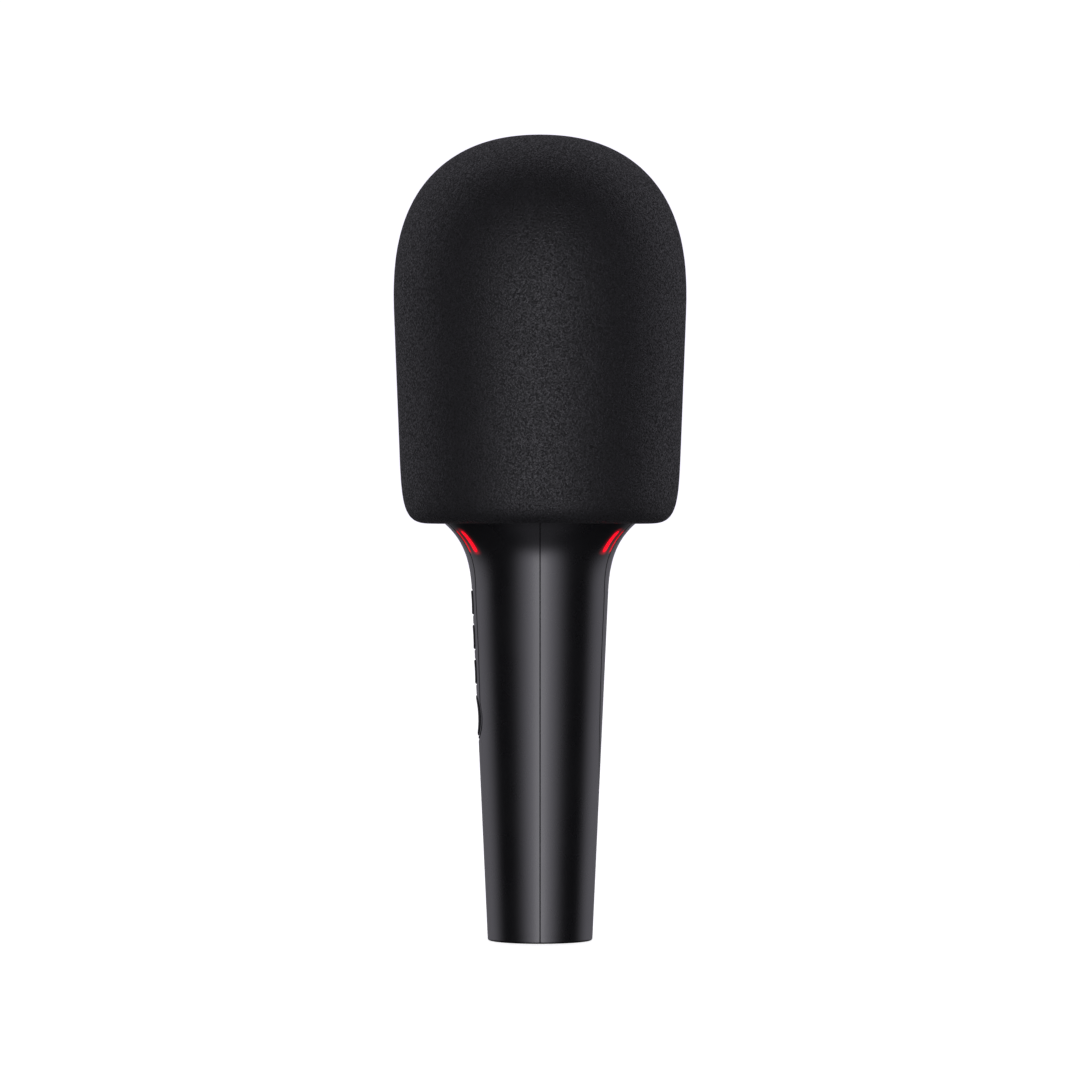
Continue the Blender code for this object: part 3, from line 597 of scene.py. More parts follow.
def dome_height(reach):
    """Radius and height on the grille, at a distance along its surface from the top."""
    turn = np.linspace(QUARTER, 0.0, 400)
    r = GRILLE_RADIUS * np.cos(turn) ** (2 / GRILLE_POWER)
    z = GRILLE_SHOULDER + (GRILLE_TOP - GRILLE_SHOULDER) * np.sin(turn) ** (2 / GRILLE_POWER)
    r[0] = 0.0
    r, z = np.append(r, GRILLE_RADIUS), np.append(z, DOME_FOOT)
    walked = np.concatenate([[0.0], np.cumsum(np.hypot(np.diff(r), np.diff(z)))])
    return np.interp(reach, walked, r), np.interp(reach, walked, z), walked[-1]


def wires(paths, thickness, sides=6):
    """Tubes along paths: a small circle, square to the path, carried along each of them."""
    sheets = []
    turn = np.linspace(0.0, math.tau, sides, endpoint=False)
    for path in paths:
        along = np.gradient(path, axis=0)
        along /= np.linalg.norm(along, axis=1, keepdims=True)
        outward = path * [1.0, 1.0, 0.0] + [0.0, 0.0, 1e-3]
        across = np.cross(along, outward)
        across /= np.maximum(np.linalg.norm(across, axis=1, keepdims=True), 1e-9)
        up = np.cross(across, along)
        circle = np.cos(turn)[:, None, None] * across + np.sin(turn)[:, None, None] * up
        sheets.append((path[None] + thickness / 2 * circle, True, False))
    return sheets


def side_mesh():
    """Paths of the grille's side: upright wires and rings, each passing over one and under
    the next, as a cosine of the place along it."""
    low, high, levels = SIDE_FOOT, SIDE_TOP, SIDE_RINGS
    count = 2 * round(math.pi * GRILLE_RADIUS / WIRE_PITCH)
    paths = []
    z = np.linspace(low, high, 4 * levels + 1)
    step = (high - low) / levels
    for i in range(count):
        turn = math.tau * i / count
        radius = GRILLE_RADIUS + WEAVE * np.cos(math.pi * ((z - low) / step + i))
        paths.append(np.stack([radius * math.cos(turn), radius * math.sin(turn), z], axis=-1))
    turn = np.linspace(0.0, math.tau, 4 * count + 1)
    for j in range(levels + 1):
        radius = GRILLE_RADIUS - WEAVE * np.cos(math.pi * (turn * count / math.tau + j))
        height = np.full_like(turn, low + j * step)
        paths.append(np.stack([radius * np.cos(turn), radius * np.sin(turn), height], axis=-1))
    return paths


def dome_mesh():
    """Paths of the grille's dome: a flat square weave laid over it, each point kept at its
    distance from the top and in its direction."""
    edge = dome_height(0.0)[2]
    pitch = WIRE_PITCH * 1.25
    paths = []
    for swap in (False, True):
        for i in np.arange(-math.floor(edge / pitch), math.floor(edge / pitch) + 1):
            reach = math.sqrt(max(edge**2 - (i * pitch) ** 2, 0.0))
            if reach < 2.0 * pitch:
                continue
            along = np.linspace(-reach, reach, 2 * int(reach / pitch * 2) + 1)
            a, b = np.full_like(along, i * pitch), along
            away = np.hypot(a, b)
            radius, z, _ = dome_height(away)
            lift = WEAVE * np.cos(math.pi * (along / pitch + i + swap))
            share = (radius + lift * radius / GRILLE_RADIUS) / np.maximum(away, 1e-6)
            x, y = a * share, b * share
            if swap:
                x, y = y, x
            paths.append(np.stack([x, y, z + lift * (1.0 - radius / GRILLE_RADIUS)], axis=-1))
    return paths


# ---------------------------------------------------------------- materials


def linear(code):
    """A six-figure sRGB hex colour as linear red, green, blue and alpha."""
    parts = [int(code[i:i + 2], 16) / 255 for i in (0, 2, 4)]
    parts = [p / 12.92 if p <= 0.04045 else ((p + 0.055) / 1.055) ** 2.4 for p in parts]
    return (*parts, 1.0)


def add(tree, kind, inputs=None, **settings):
    """Adds a node with its settings. Each input is a value, or another node's output."""
    node = tree.nodes.new(kind)
    for name, value in settings.items():
        setattr(node, name, value)
    for name, value in (inputs or {}).items():
        if isinstance(value, bpy.types.NodeSocket):
            tree.links.new(value, node.inputs[name])
        else:
            node.inputs[name].default_value = value
    return node


def start(name):
    """A new empty material: (material, its tree, its object coordinates)."""
    material = bpy.data.materials.new(name)
    material.use_nodes = True
    tree = material.node_tree
    tree.nodes.clear()
    return material, tree, add(tree, "ShaderNodeTexCoord").outputs["Object"]


def close(tree, shader):
    """Sends a shader to the material's output."""
    add(tree, "ShaderNodeOutputMaterial", {"Surface": shader.outputs[0]})


def finish(name, colour, rough, grain, relief, vary=0.12, stretch=(1.0, 1.0, 1.0), **sockets):
    """A moulded, turned or plated surface, with its grain and its wear.

    grain is the size of the surface's texture and relief its depth, both in millimetres. A
    broad cloud 14 mm across varies the colour and the roughness by vary.
    """
    ready = bpy.data.materials.get(name)
    if ready:
        return ready
    material, tree, place = start(name)
    mapped = add(tree, "ShaderNodeMapping", {"Vector": place, "Scale": stretch}).outputs[0]
    fine = add(tree, "ShaderNodeTexNoise", {
        "Vector": mapped, "Scale": 1.0 / (grain * MM), "Detail": 3.0, "Roughness": 0.6,
    })
    cloud = add(tree, "ShaderNodeTexNoise", {
        "Vector": place, "Scale": 1.0 / (14.0 * MM), "Detail": 4.0,
    })
    tone = add(tree, "ShaderNodeMix", {
        MIX: cloud.outputs["Fac"],
        MIX_A: (*[c * (1.0 - vary) for c in colour[:3]], 1.0),
        MIX_B: (*[min(1.0, c * (1.0 + vary)) for c in colour[:3]], 1.0),
    }, data_type="RGBA")
    soft = add(tree, "ShaderNodeMapRange", {
        "Value": cloud.outputs["Fac"], "From Min": 0.3, "From Max": 0.7,
        "To Min": rough * (1.0 - vary / 2), "To Max": rough * (1.0 + vary / 2),
    })
    bump = add(tree, "ShaderNodeBump", {
        "Height": fine.outputs["Fac"], "Strength": 1.0, "Distance": relief * MM,
    })
    shader = add(tree, "ShaderNodeBsdfPrincipled", {
        "Base Color": tone.outputs[MIX_OUT], "Roughness": soft.outputs[0],
        "Normal": bump.outputs[0], **sockets,
    })
    close(tree, shader)
    return material


def foam_material(colour, grain):
    """Open-cell polyurethane foam, ground to shape. Its cut cells give a dark, even speckle,
    painted in as shade in their hollows and light on their walls, with a faint broad gleam from their
    walls.

    Real cells are about 0.4 mm; they are drawn at the grain given, so that they show.
    """
    material, tree, place = start("Ground polyurethane foam")
    # Turned, so that the noise's own grid never lies flat along the windscreen's side.
    aslant = add(tree, "ShaderNodeMapping", {"Vector": place, "Rotation": (0.7, 0.5, 0.3)})
    fluff = add(tree, "ShaderNodeTexNoise", {
        "Vector": aslant.outputs[0], "Scale": 1.0 / grain, "Detail": 2.0,
        "Roughness": 0.8,
    })
    cloud = add(tree, "ShaderNodeTexNoise", {
        "Vector": place, "Scale": 1.0 / (11.0 * MM), "Detail": 3.0,
    })
    bump = add(tree, "ShaderNodeBump", {
        "Height": fluff.outputs["Fac"], "Strength": 1.0, "Distance": 0.42 * grain,
    })
    # Painted shade and light: the colour is darkest where the bump sinks into a cell and brightest
    # where it rises to a wall.
    painted_pore_shade = add(tree, "ShaderNodeMapRange", {
        "Value": fluff.outputs["Fac"], "From Min": 0.38, "From Max": 0.66,
        "To Min": 0.0, "To Max": 3.0,
    })
    worn = add(tree, "ShaderNodeMapRange", {
        "Value": cloud.outputs["Fac"], "From Min": 0.3, "From Max": 0.7,
        "To Min": 0.9, "To Max": 1.1,
    })
    shade = add(tree, "ShaderNodeMath", {0: painted_pore_shade.outputs[0], 1: worn.outputs[0]},
                operation="MULTIPLY")
    tone = add(tree, "ShaderNodeVectorMath", {0: (*colour,), "Scale": shade.outputs[0]},
               operation="SCALE")
    soft = add(tree, "ShaderNodeMapRange", {
        "Value": fluff.outputs["Fac"], "From Min": 0.38, "From Max": 0.62,
        "To Min": 0.8, "To Max": 0.2,
    })
    # Loose cell walls stand up at the rim, so the foam is duller there.
    facing = add(tree, "ShaderNodeLayerWeight", {"Blend": 0.5})
    fuzz = add(tree, "ShaderNodeMapRange", {
        "Value": facing.outputs["Facing"], "From Min": 0.3, "From Max": 0.8,
        "To Min": 0.0, "To Max": 0.2,
    })
    soft = add(tree, "ShaderNodeMath", {0: soft.outputs[0], 1: fuzz.outputs[0]},
               operation="ADD")
    shader = add(tree, "ShaderNodeBsdfPrincipled", {
        "Base Color": tone.outputs["Vector"], "Roughness": soft.outputs[0], "IOR": 1.45,
        "Specular IOR Level": 0.31, "Normal": bump.outputs[0],
    })
    close(tree, shader)
    return material


def shell_material(colour, painted_glow_colour, strength):
    """Moulded ABS with a fine satin texture. It gives long soft highlights up the handle, and
    near the light bars a painted red glow, an emission in the shell, stands in for the light they
    spill on it."""
    material, tree, place = start("Satin moulded ABS")
    grain = add(tree, "ShaderNodeTexNoise", {
        "Vector": place, "Scale": 1.0 / (0.45 * MM), "Detail": 2.0, "Roughness": 0.6,
    })
    cloud = add(tree, "ShaderNodeTexNoise", {
        "Vector": place, "Scale": 1.0 / (16.0 * MM), "Detail": 4.0,
    })
    bump = add(tree, "ShaderNodeBump", {
        "Height": grain.outputs["Fac"], "Strength": 1.0, "Distance": 0.006 * MM,
    })
    soft = add(tree, "ShaderNodeMapRange", {
        "Value": cloud.outputs["Fac"], "From Min": 0.3, "From Max": 0.7,
        "To Min": 0.26, "To Max": 0.29,
    })
    tone = add(tree, "ShaderNodeMix", {
        MIX: cloud.outputs["Fac"], MIX_A: (*[0.85 * c for c in colour], 1.0),
        MIX_B: (*[1.15 * c for c in colour], 1.0),
    }, data_type="RGBA")
    # Painted light: a red emission on the shell, strongest at each bar and gone 1.7 mm past its edge,
    # stands in for the light the bars spill on the handle.
    axes = add(tree, "ShaderNodeSeparateXYZ", {0: place})
    side = add(tree, "ShaderNodeMath", {0: axes.outputs["X"]}, operation="ABSOLUTE")
    middle, reach = (BAR_TOP + BAR_BOTTOM) / 2 * MM, (BAR_TOP - BAR_BOTTOM) / 2 * MM
    rise = axes.outputs["Z"]
    for operation, amount in (("SUBTRACT", middle), ("ABSOLUTE", 0.0), ("SUBTRACT", reach),
                              ("MAXIMUM", 0.0), ("MULTIPLY", 2.0)):
        rise = add(tree, "ShaderNodeMath", {0: rise, 1: amount}, operation=operation).outputs[0]
    total = None
    for centre, half in BARS.values():
        away = add(tree, "ShaderNodeMath", {0: side.outputs[0], 1: centre * MM},
                   operation="SUBTRACT")
        away = add(tree, "ShaderNodeCombineXYZ", {"X": away.outputs[0], "Z": rise})
        away = add(tree, "ShaderNodeVectorMath", {0: away.outputs[0]}, operation="LENGTH")
        fall = add(tree, "ShaderNodeMapRange", {
            "Value": away.outputs["Value"], "From Min": (half - 0.2) * MM,
            "From Max": (half + 1.7) * MM, "To Min": 1.0, "To Max": 0.0,
        })
        fall = add(tree, "ShaderNodeMath", {0: fall.outputs[0], 1: 2.5}, operation="POWER")
        total = fall if total is None else add(
            tree, "ShaderNodeMath", {0: total.outputs[0], 1: fall.outputs[0]}, operation="MAXIMUM")
    # How strongly the painted red glow shines round the bars.
    lit = add(tree, "ShaderNodeMath", {0: total.outputs[0], 1: strength}, operation="MULTIPLY")
    shader = add(tree, "ShaderNodeBsdfPrincipled", {
        "Base Color": tone.outputs[MIX_OUT], "Roughness": soft.outputs[0], "IOR": 1.54,
        "Normal": bump.outputs[0], "Emission Color": (*painted_glow_colour, 1.0),
        "Emission Strength": lit.outputs[0],
    })
    close(tree, shader)
    return material


def light_material(colour, strength):
    """Red acrylic light guide, lit from behind: an even glow, strong in the broad bars and
    weaker in the thin ones."""
    material, tree, place = start("Lit acrylic light guide")
    cloud = add(tree, "ShaderNodeTexNoise", {"Vector": place, "Scale": 1.0 / (2.5 * MM)})
    level = add(tree, "ShaderNodeMapRange", {
        "Value": cloud.outputs["Fac"], "From Min": 0.3, "From Max": 0.7,
        "To Min": 0.92 * strength, "To Max": 1.08 * strength,
    })
    axes = add(tree, "ShaderNodeSeparateXYZ", {0: place})
    side = add(tree, "ShaderNodeMath", {0: axes.outputs["X"]}, operation="ABSOLUTE")
    thin, broad = BARS["thin"][0] * MM, BARS["broad"][0] * MM
    share = add(tree, "ShaderNodeMapRange", {
        "Value": side.outputs[0], "From Min": 0.6 * thin + 0.4 * broad,
        "From Max": 0.4 * thin + 0.6 * broad, "To Min": 0.4, "To Max": 1.0,
    })
    level = add(tree, "ShaderNodeMath", {0: level.outputs[0], 1: share.outputs[0]},
                operation="MULTIPLY")
    shader = add(tree, "ShaderNodeBsdfPrincipled", {
        "Base Color": (0.3 * colour[0], 0.0, 0.0, 1.0), "Roughness": 0.3, "IOR": 1.49,
        "Specular IOR Level": 0.15,
        "Emission Color": (*colour, 1.0), "Emission Strength": level.outputs[0],
    })
    close(tree, shader)
    return material


def inner_materials():
    """Finishes for the pieces that the frame already gives their final shape, by slot."""
    upright = (1.0, 1.0, 0.08)
    return {
        # Nickel-plated steel, drawn through a die: bright, with faint lines along its length.
        "steel": finish("Nickel-plated steel", linear("B9B6AE"), 0.28, 0.5, 0.004,
                        stretch=upright, Metallic=1.0),
        # Stoved black paint on pressed steel: a low sheen and a slight orange peel.
        "dark_steel": finish("Stoved paint on steel", linear("1E1E20"), 0.42, 0.9, 0.02),
        # Woven wire, nickel-plated and dulled.
        "grille": finish("Plated wire", linear("8E8C88"), 0.36, 0.4, 0.004, Metallic=1.0),
        # Turned aluminium, painted black: fine rings under a satin coat.
        "ring": finish("Black-painted turned aluminium", linear("202022"), 0.38, 0.4, 0.008,
                       stretch=(0.05, 0.05, 1.0), **{"Coat Weight": 0.2}),
        # Turned aluminium, left bare: bright, with the lathe's rings.
        "aluminium": finish("Turned aluminium", linear("C4C5C8"), 0.3, 0.35, 0.006,
                            stretch=(0.05, 0.05, 1.0), Metallic=1.0),
        # Reticulated foam: matt, with cells about a millimetre across.
        "liner": finish("Reticulated foam", linear("1B1B1D"), 0.9, 1.1, 0.35, vary=0.3),
        # Woven acoustic cloth: matt, with a close weave drawn at half a millimetre.
        "cloth": finish("Woven acoustic cloth", linear("161617"), 0.85, 0.5, 0.06, vary=0.25),
        # Moulded rubber: dull, with a dusty bloom.
        "rubber": finish("Moulded rubber", linear("1C1C1B"), 0.7, 0.7, 0.02, vary=0.2),
        # Injection-moulded nylon: pale, slightly waxy.
        "cradle": finish("Moulded nylon", linear("2B2C2E"), 0.5, 0.8, 0.012),
        # Shrink sleeve on the cell: thin glossy film, faintly wrinkled.
        "cell": finish("Shrink-film sleeve", linear("2E6FA8"), 0.3, 6.0, 0.06,
                       **{"Coat Weight": 0.4}),
        # Pressed paper pulp: matt, fibrous.
        "paper": finish("Pressed paper pulp", linear("2A2826"), 0.88, 0.6, 0.05, vary=0.25),
        # Epoxy-glass board under green lacquer: smooth, with the weave just showing.
        "board": finish("Lacquered epoxy board", linear("14522F"), 0.35, 0.6, 0.006,
                        **{"Coat Weight": 0.3}),
        # Moulded epoxy: dull black, fine sand-like texture.
        "chip": finish("Moulded epoxy", linear("1A1A1B"), 0.6, 0.35, 0.01),
        # Lamp package: white ceramic-filled plastic.
        "lamp": finish("White lamp plastic", linear("E6E4DA"), 0.45, 0.5, 0.006),
        # Moulded ABS, as on the outside, for what the cover pieces don't replace.
        "shell": finish("Moulded ABS inside", linear("17171A"), 0.42, 0.6, 0.01, IOR=1.54),
        # Red acrylic light guide where it isn't lit.
        "light": finish("Red acrylic", linear("B0101C"), 0.2, 1.5, 0.004, IOR=1.49),
    }


# ---------------------------------------------------------------- settings


def colour_setting(name, text, code):
    """A colour that a user can change, from its sRGB hex value."""
    return bpy.props.FloatVectorProperty(
        name=name, description=text, subtype="COLOR", size=3, min=0.0, max=1.0,
        default=linear(code)[:3],
    )


def length_setting(name, text, size):
    """A length that a user can change, from millimetres."""
    return bpy.props.FloatProperty(
        name=name, description=text, unit="LENGTH", subtype="DISTANCE", default=size * MM,
    )


class MicrophoneSettings(bpy.types.PropertyGroup):
    """Sizes and colours of the finished look."""

    foam_colour: colour_setting("Foam", "Colour of the windscreen's foam", "080809")
    shell_colour: colour_setting("Handle", "Colour of the moulded handle", "070708")
    trim_colour: colour_setting("Trim", "Colour of the strips down the handle", "0A0A0B")
    key_colour: colour_setting("Keys", "Colour of the keys and the button", "080809")
    light_colour: colour_setting("Lights", "Colour of the light bars", "FF0024")
    light_strength: bpy.props.FloatProperty(
        name="Light strength", description="How brightly the light bars shine", default=1.05,
    )
    # Strength of the painted red glow, an emission in the handle's material round the light bars.
    painted_glow_strength: bpy.props.FloatProperty(
        name="Glow", description="How much light the handle catches round the bars", default=0.22,
    )
    foam_grain: length_setting("Foam grain", "Size of the foam's drawn cells", 0.55)
    foam_relief: length_setting("Foam relief", "Depth of the foam's ground surface", 0.02)
    wire: length_setting("Wire", "Thickness of the grille's wire", WIRE)
    bar_stand: length_setting("Bar height", "How far the light bars stand out", 0.1)
    key_stand: length_setting("Key height", "How far the keys stand out", 0.25)
    softbox: bpy.props.FloatProperty(
        name="Softbox", description="Width of the soft light", unit="LENGTH", default=0.6,
    )
    softbox_power: bpy.props.FloatProperty(
        name="Softbox power", description="Power of the soft light, in watts", default=6.0,
    )


def finished(name):
    """A finish that several operators share, made when it is first asked for."""
    ready = bpy.data.materials.get(name)
    if ready:
        return ready
    look = bpy.context.scene.microphone
    if name == "Satin moulded ABS":
        # The light colour also tints the painted red glow on the shell round the bars.
        return shell_material(look.shell_colour, look.light_colour, look.painted_glow_strength)
    if name == "Glossy moulded ABS":
        # Polished mould: smooth and dark, with a slight waviness in its reflections.
        return finish(name, (*look.trim_colour, 1.0), 0.24, 3.0, 0.004, IOR=1.54)
    if name == "Moulded silicone rubber":
        # Moulded rubber: nearly matt, so the keys stay dark beside the handle's sheen.
        return finish(name, (*look.key_colour, 1.0), 0.66, 0.35, 0.006,
                      **{"IOR": 1.41, "Specular IOR Level": 0.3})
    # Spark-eroded mould: a dull, even sheen on the foot.
    return finish("Dull moulded ABS", (*look.key_colour, 1.0), 0.45, 0.35, 0.006, IOR=1.54)


# ---------------------------------------------------------------- operators


class MICROPHONE_OT_windscreen(bpy.types.Operator):
    """Turns the foam windscreen and roughens its skin"""

    bl_idname = "microphone.windscreen"
    bl_label = "Foam windscreen"

    def execute(self, context):
        look = context.scene.microphone
        profile = foam_profile()
        outside = len(profile) - 27
        segments = 400
        turn = np.linspace(0.0, math.tau, segments, endpoint=False)
        grain = np.random.default_rng(5).uniform(-1.0, 1.0, (len(profile), segments))
        steady = np.clip((profile[:, 0] - 3.0) / 30.0, 0.0, 1.0)
        steady[outside - 12:] = 0.0
        radius = profile[:, 0, None] + grain * steady[:, None] * look.foam_relief / MM
        height = np.broadcast_to(profile[:, 1, None], radius.shape)
        grid = np.stack([radius * np.cos(turn), radius * np.sin(turn), height], axis=-1)
        obj = solid("foam_windscreen", [(grid, False, True)], smooth=60.0)
        surface = foam_material(look.foam_colour, look.foam_grain)
        join(obj, surface, "windscreen", "foam", "windscreen")
        return {"FINISHED"}


class MICROPHONE_OT_handle(bpy.types.Operator):
    """Makes the two moulded halves of the handle"""

    bl_idname = "microphone.handle"
    bl_label = "Handle halves"

    def execute(self, context):
        for side, node in ((FRONT, "handle_front"), (BACK, "handle_back")):
            obj = handle_half("moulded_" + node, side)
            join(obj, finished("Satin moulded ABS"), "handle", "shell", node)
        return {"FINISHED"}


class MICROPHONE_OT_trim(bpy.types.Operator):
    """Makes the strips let into the front and the back"""

    bl_idname = "microphone.trim"
    bl_label = "Trim strips"

    def execute(self, context):
        gloss = finished("Glossy moulded ABS")
        join(front_strip("front_strip"), gloss, "handle", "trim", "trim_front")
        heights = np.concatenate([side_heights(60.0, TRIM_TOP), tip_heights()])
        grid = inlay(0.0, heights, trim_width(heights), BACK, 0.0, 0.0, TRIM_EDGE, TRIM_DEPTH)
        back = even_normals(solid("back_strip", [grid]))
        join(back, gloss, "handle", "trim", "trim_back")
        return {"FINISHED"}


class MICROPHONE_OT_keys(bpy.types.Operator):
    """Makes the three square keys and the round power button"""

    bl_idname = "microphone.keys"
    bl_label = "Keys and button"

    def execute(self, context):
        proud = context.scene.microphone.key_stand / MM
        dull = finished("Moulded silicone rubber")
        for node, centre in KEY_CENTRES.items():
            back = 2.2 - float(body_radius(centre))
            obj = push_button(
                node + "_cap", centre, KEY_HALF, KEY_SQUARENESS, proud, 0.06, 0.4, back)
            join(obj, dull, node, "key", node)
        back = 2.2 - float(body_radius(RING_CENTRE))
        obj = push_button(
            "power_button_cap", RING_CENTRE, BUTTON_RADIUS, 2.0, 0.8 * proud, 0.4, 0.35, back)
        join(obj, dull, "power_button", "key", "power_button")
        return {"FINISHED"}


class MICROPHONE_OT_lights(bpy.types.Operator):
    """Makes the four pairs of red light bars"""

    bl_idname = "microphone.lights"
    bl_label = "Light bars"

    def execute(self, context):
        look = context.scene.microphone
        lit = light_material(look.light_colour, look.light_strength)
        turn = np.linspace(-QUARTER, QUARTER, 41)
        for side, face in ((FRONT, "front"), (BACK, "back")):
            for hand, way in ((-1, "left"), (1, "right")):
                grids = []
                for centre, half in BARS.values():
                    reach = (BAR_TOP - BAR_BOTTOM) / 2
                    heights = (BAR_TOP + BAR_BOTTOM) / 2 + reach * np.sin(turn)
                    end = np.clip((reach - np.abs(reach * np.sin(turn))) / half, 0.0, 1.0)
                    width = half * np.sqrt(1.0 - (1.0 - end) ** 2)
                    grids.append(inlay(hand * centre, heights, width, side,
                                       look.bar_stand / MM, 0.0, 0.3, 0.3))
                obj = even_normals(solid(f"light_bars_{face}_{way}", grids))
                join(obj, lit, "handle", "light", f"light_guide_{face}_{way}")
        return {"FINISHED"}


class MICROPHONE_OT_foot(bpy.types.Operator):
    """Makes the round foot with its charging slot"""

    bl_idname = "microphone.foot"
    bl_label = "Foot"

    def execute(self, context):
        join(foot_cap("foot_cap"), finished("Dull moulded ABS"), "handle", "shell", "bottom_cap")
        return {"FINISHED"}


class MICROPHONE_OT_grille(bpy.types.Operator):
    """Weaves the wire grille under the windscreen"""

    bl_idname = "microphone.grille"
    bl_label = "Wire grille"

    def execute(self, context):
        wire = context.scene.microphone.wire / MM
        plated = inner_materials()["grille"]
        for name, paths in (("side", side_mesh()), ("dome", dome_mesh())):
            obj = solid(f"woven_{name}", wires(paths, wire), smooth=70.0)
            join(obj, plated, "handle", "grille", f"grille_{name}")
        painted = inner_materials()["ring"]
        for node, outline in RINGS.items():
            obj = even_normals(turned("turned_" + node, softened(outline, 0.35), True))
            join(obj, painted, "handle", "ring", node)
        return {"FINISHED"}


class MICROPHONE_OT_inside(bpy.types.Operator):
    """Gives the frame's own pieces their finishes"""

    bl_idname = "microphone.inside"
    bl_label = "Inner pieces"

    def execute(self, context):
        finishes = inner_materials()
        for part in frame["record"]["subparts"]:
            node = frame["nodes"][part["node"]]
            surface = finishes.get(part["material_slot"])
            if node.hide_render or surface is None:
                continue
            for place in node.material_slots:
                place.link = "OBJECT"
                place.material = surface
        return {"FINISHED"}


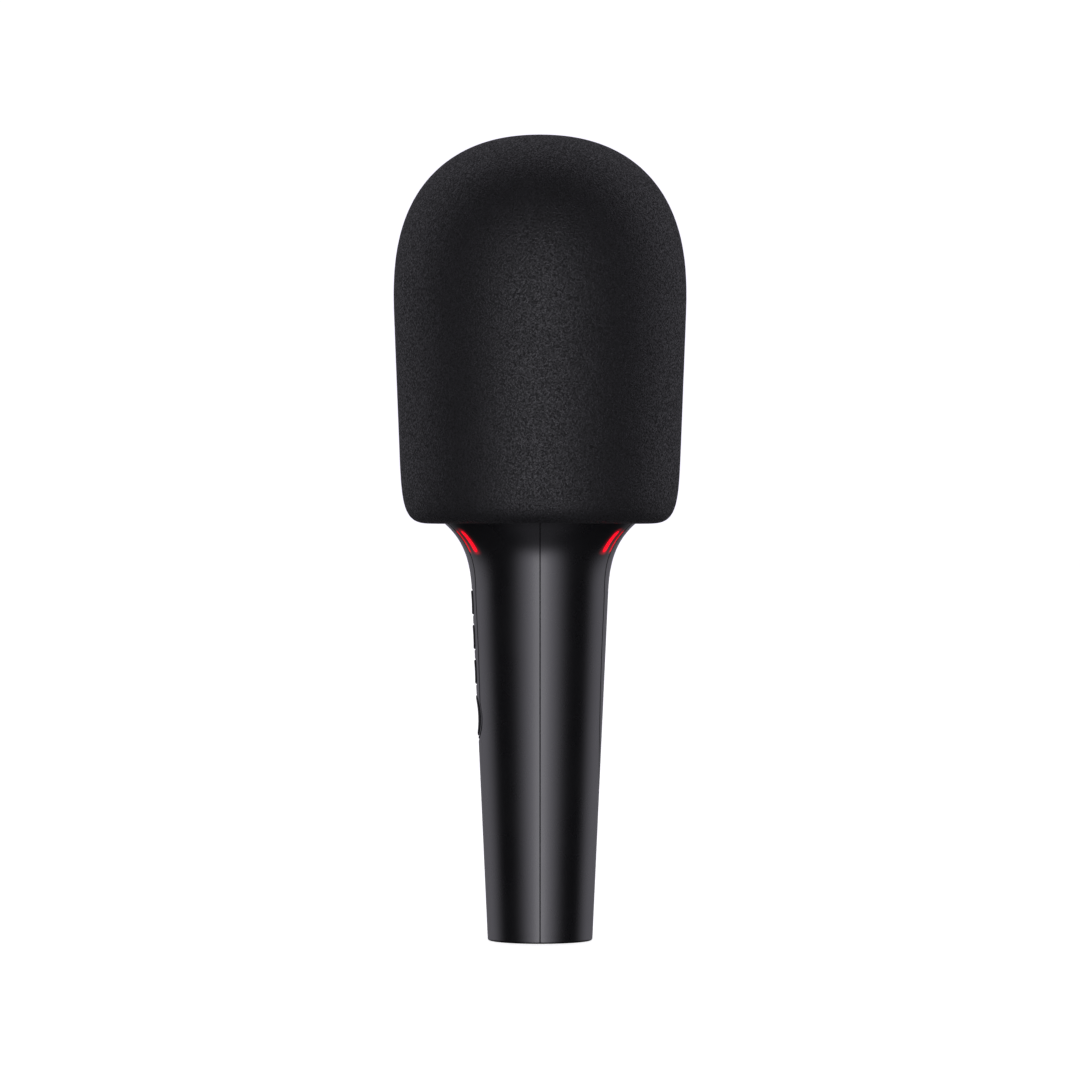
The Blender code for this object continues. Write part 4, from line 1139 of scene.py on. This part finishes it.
class MICROPHONE_OT_stage(bpy.types.Operator):
    """Sets up the floor, the soft light and the camera"""

    bl_idname = "microphone.stage"
    bl_label = "Studio"

    def execute(self, context):
        scene = context.scene
        look = scene.microphone
        scene.view_settings.view_transform = "Standard"
        scene.view_settings.look = "None"
        bpy.ops.mesh.primitive_plane_add(size=40.0, location=(0.0, 0.0, -0.0001))
        floor = context.object
        floor.name = "floor"
        material, tree, place = start("White acrylic table, lit from below")
        cloud = add(tree, "ShaderNodeTexNoise", {"Vector": place, "Scale": 3.0})
        tone = add(tree, "ShaderNodeMapRange", {
            "Value": cloud.outputs["Fac"], "To Min": 0.84, "To Max": 0.88,
        })
        close(tree, add(tree, "ShaderNodeBsdfPrincipled", {
            "Base Color": tone.outputs[0], "Roughness": 0.9,
            "Emission Color": (1.0, 1.0, 1.0, 1.0), "Emission Strength": 0.8,
        }))
        floor.data.materials.append(material)
        floor.visible_glossy = False
        floor.visible_shadow = False
        self.surroundings(scene)
        self.lamp("Softbox", (1.75, 0.0, -0.15), look.softbox, 3.5 * look.softbox,
                  look.softbox_power)
        self.camera(scene)
        return {"FINISHED"}

    def lamp(self, name, place, width, height, power):
        """An area light that faces the microphone and is not seen itself."""
        light = bpy.data.lights.new(name, "AREA")
        light.shape = "RECTANGLE"
        light.size, light.size_y = width, height
        light.energy = power
        obj = bpy.data.objects.new(name, light)
        obj.location = place
        obj.rotation_euler = (QUARTER, 0.0, QUARTER)
        obj.visible_camera = False
        bpy.context.scene.collection.objects.link(obj)

    def surroundings(self, scene):
        """A pale room: two bright side panels level with the object and just behind it, darker
        straight behind and overhead, a broad diffusing screen in front, brightest along its
        middle as a bell curve, and a faint gleam from the table."""
        world = bpy.data.worlds.new("Studio")
        world.use_nodes = True
        tree = world.node_tree
        tree.nodes.clear()
        way = add(tree, "ShaderNodeTexCoord").outputs["Generated"]
        axes = add(tree, "ShaderNodeSeparateXYZ", {0: way})
        across = add(tree, "ShaderNodeMath", {0: axes.outputs["Y"]}, operation="ABSOLUTE")

        def ramp(value, low, high, start, end):
            """A smooth step from start to end as the value goes from low to high."""
            return add(tree, "ShaderNodeMapRange", {
                "Value": value, "From Min": low, "From Max": high, "To Min": start, "To Max": end,
            }, interpolation_type="SMOOTHSTEP").outputs[0]

        def product(values):
            """The values multiplied together."""
            level = values[0]
            for value in values[1:]:
                level = add(tree, "ShaderNodeMath", {0: level, 1: value},
                            operation="MULTIPLY").outputs[0]
            return level

        panels = product([
            ramp(axes.outputs["X"], 0.15, -0.35, 0.0, PANEL_LEVEL),
            ramp(axes.outputs["X"], -0.45, -1.0, 1.0, 0.3),
            ramp(axes.outputs["Z"], -0.5, -0.1, 0.0, 1.0),
        ])
        table = product([
            ramp(across.outputs[0], 0.05, 0.5, TABLE_LEVEL, 0.0),
            ramp(axes.outputs["Z"], -0.1, -0.6, 0.0, 1.0),
            ramp(axes.outputs["X"], -0.35, 0.05, 0.0, 1.0),
        ])
        bell = across.outputs[0]
        for operation, amount in (("DIVIDE", axes.outputs["X"]), ("POWER", 2.0),
                                  ("MULTIPLY", -SCREEN_FALL), ("EXPONENT", 0.0)):
            bell = add(tree, "ShaderNodeMath", {0: bell, 1: amount},
                       operation=operation).outputs[0]
        screen = product([
            bell,
            ramp(axes.outputs["X"], 0.0, 0.25, 0.0, SCREEN_LEVEL),
            ramp(axes.outputs["Z"], -0.82, -0.5, 0.0, 1.0),
            ramp(axes.outputs["Z"], 0.6, 0.25, 0.0, 1.0),
        ])
        table = add(tree, "ShaderNodeMath", {0: table, 1: screen}, operation="ADD").outputs[0]
        level = add(tree, "ShaderNodeMath", {0: panels, 1: table}, operation="ADD")
        seen = add(tree, "ShaderNodeLightPath")
        shown = add(tree, "ShaderNodeMath", {0: seen.outputs["Is Camera Ray"], 1: BACKDROP_LEVEL},
                    operation="MULTIPLY")
        level = add(tree, "ShaderNodeMath", {0: level.outputs[0], 1: shown.outputs[0]},
                    operation="MAXIMUM")
        room = add(tree, "ShaderNodeBackground", {
            "Color": linear("F5F2FF"), "Strength": level.outputs[0]})
        add(tree, "ShaderNodeOutputWorld", {"Surface": room.outputs[0]})
        scene.world = world

    def camera(self, scene):
        """A long lens, level with the middle of the microphone and square to its side."""
        lens = bpy.data.cameras.new("Camera")
        lens.lens = 170.0
        lens.sensor_width = 36.0
        lens.clip_end = 100.0
        camera = bpy.data.objects.new("Camera", lens)
        camera.location = CAMERA_PLACE
        camera.rotation_euler = (QUARTER, 0.0, QUARTER)
        scene.collection.objects.link(camera)
        scene.camera = camera


OPERATORS = (
    MICROPHONE_OT_windscreen, MICROPHONE_OT_handle, MICROPHONE_OT_trim, MICROPHONE_OT_keys,
    MICROPHONE_OT_lights, MICROPHONE_OT_foot, MICROPHONE_OT_grille, MICROPHONE_OT_inside,
    MICROPHONE_OT_stage,
)


class MICROPHONE_PT_panel(bpy.types.Panel):
    """Lists the steps that build the microphone, and their settings"""

    bl_idname = "MICROPHONE_PT_panel"
    bl_label = "Microphone"
    bl_space_type = "VIEW_3D"
    bl_region_type = "UI"
    bl_category = "Microphone"

    def draw(self, context):
        for name in MicrophoneSettings.__annotations__:
            self.layout.prop(context.scene.microphone, name)
        for step in OPERATORS:
            self.layout.operator(step.bl_idname)


CLASSES = (MicrophoneSettings, *OPERATORS, MICROPHONE_PT_panel)


def register():
    """Adds the settings, the steps and the panel."""
    for cls in CLASSES:
        bpy.utils.register_class(cls)
    bpy.types.Scene.microphone = bpy.props.PointerProperty(type=MicrophoneSettings)


def unregister():
    """Takes them away again, in the opposite order."""
    del bpy.types.Scene.microphone
    for cls in reversed(CLASSES):
        bpy.utils.unregister_class(cls)


def main():
    """Runs every step in order."""
    register()
    for step in OPERATORS:
        group, name = step.bl_idname.split(".")
        getattr(getattr(bpy.ops, group), name)()


if __name__ == "__main__":
    main()
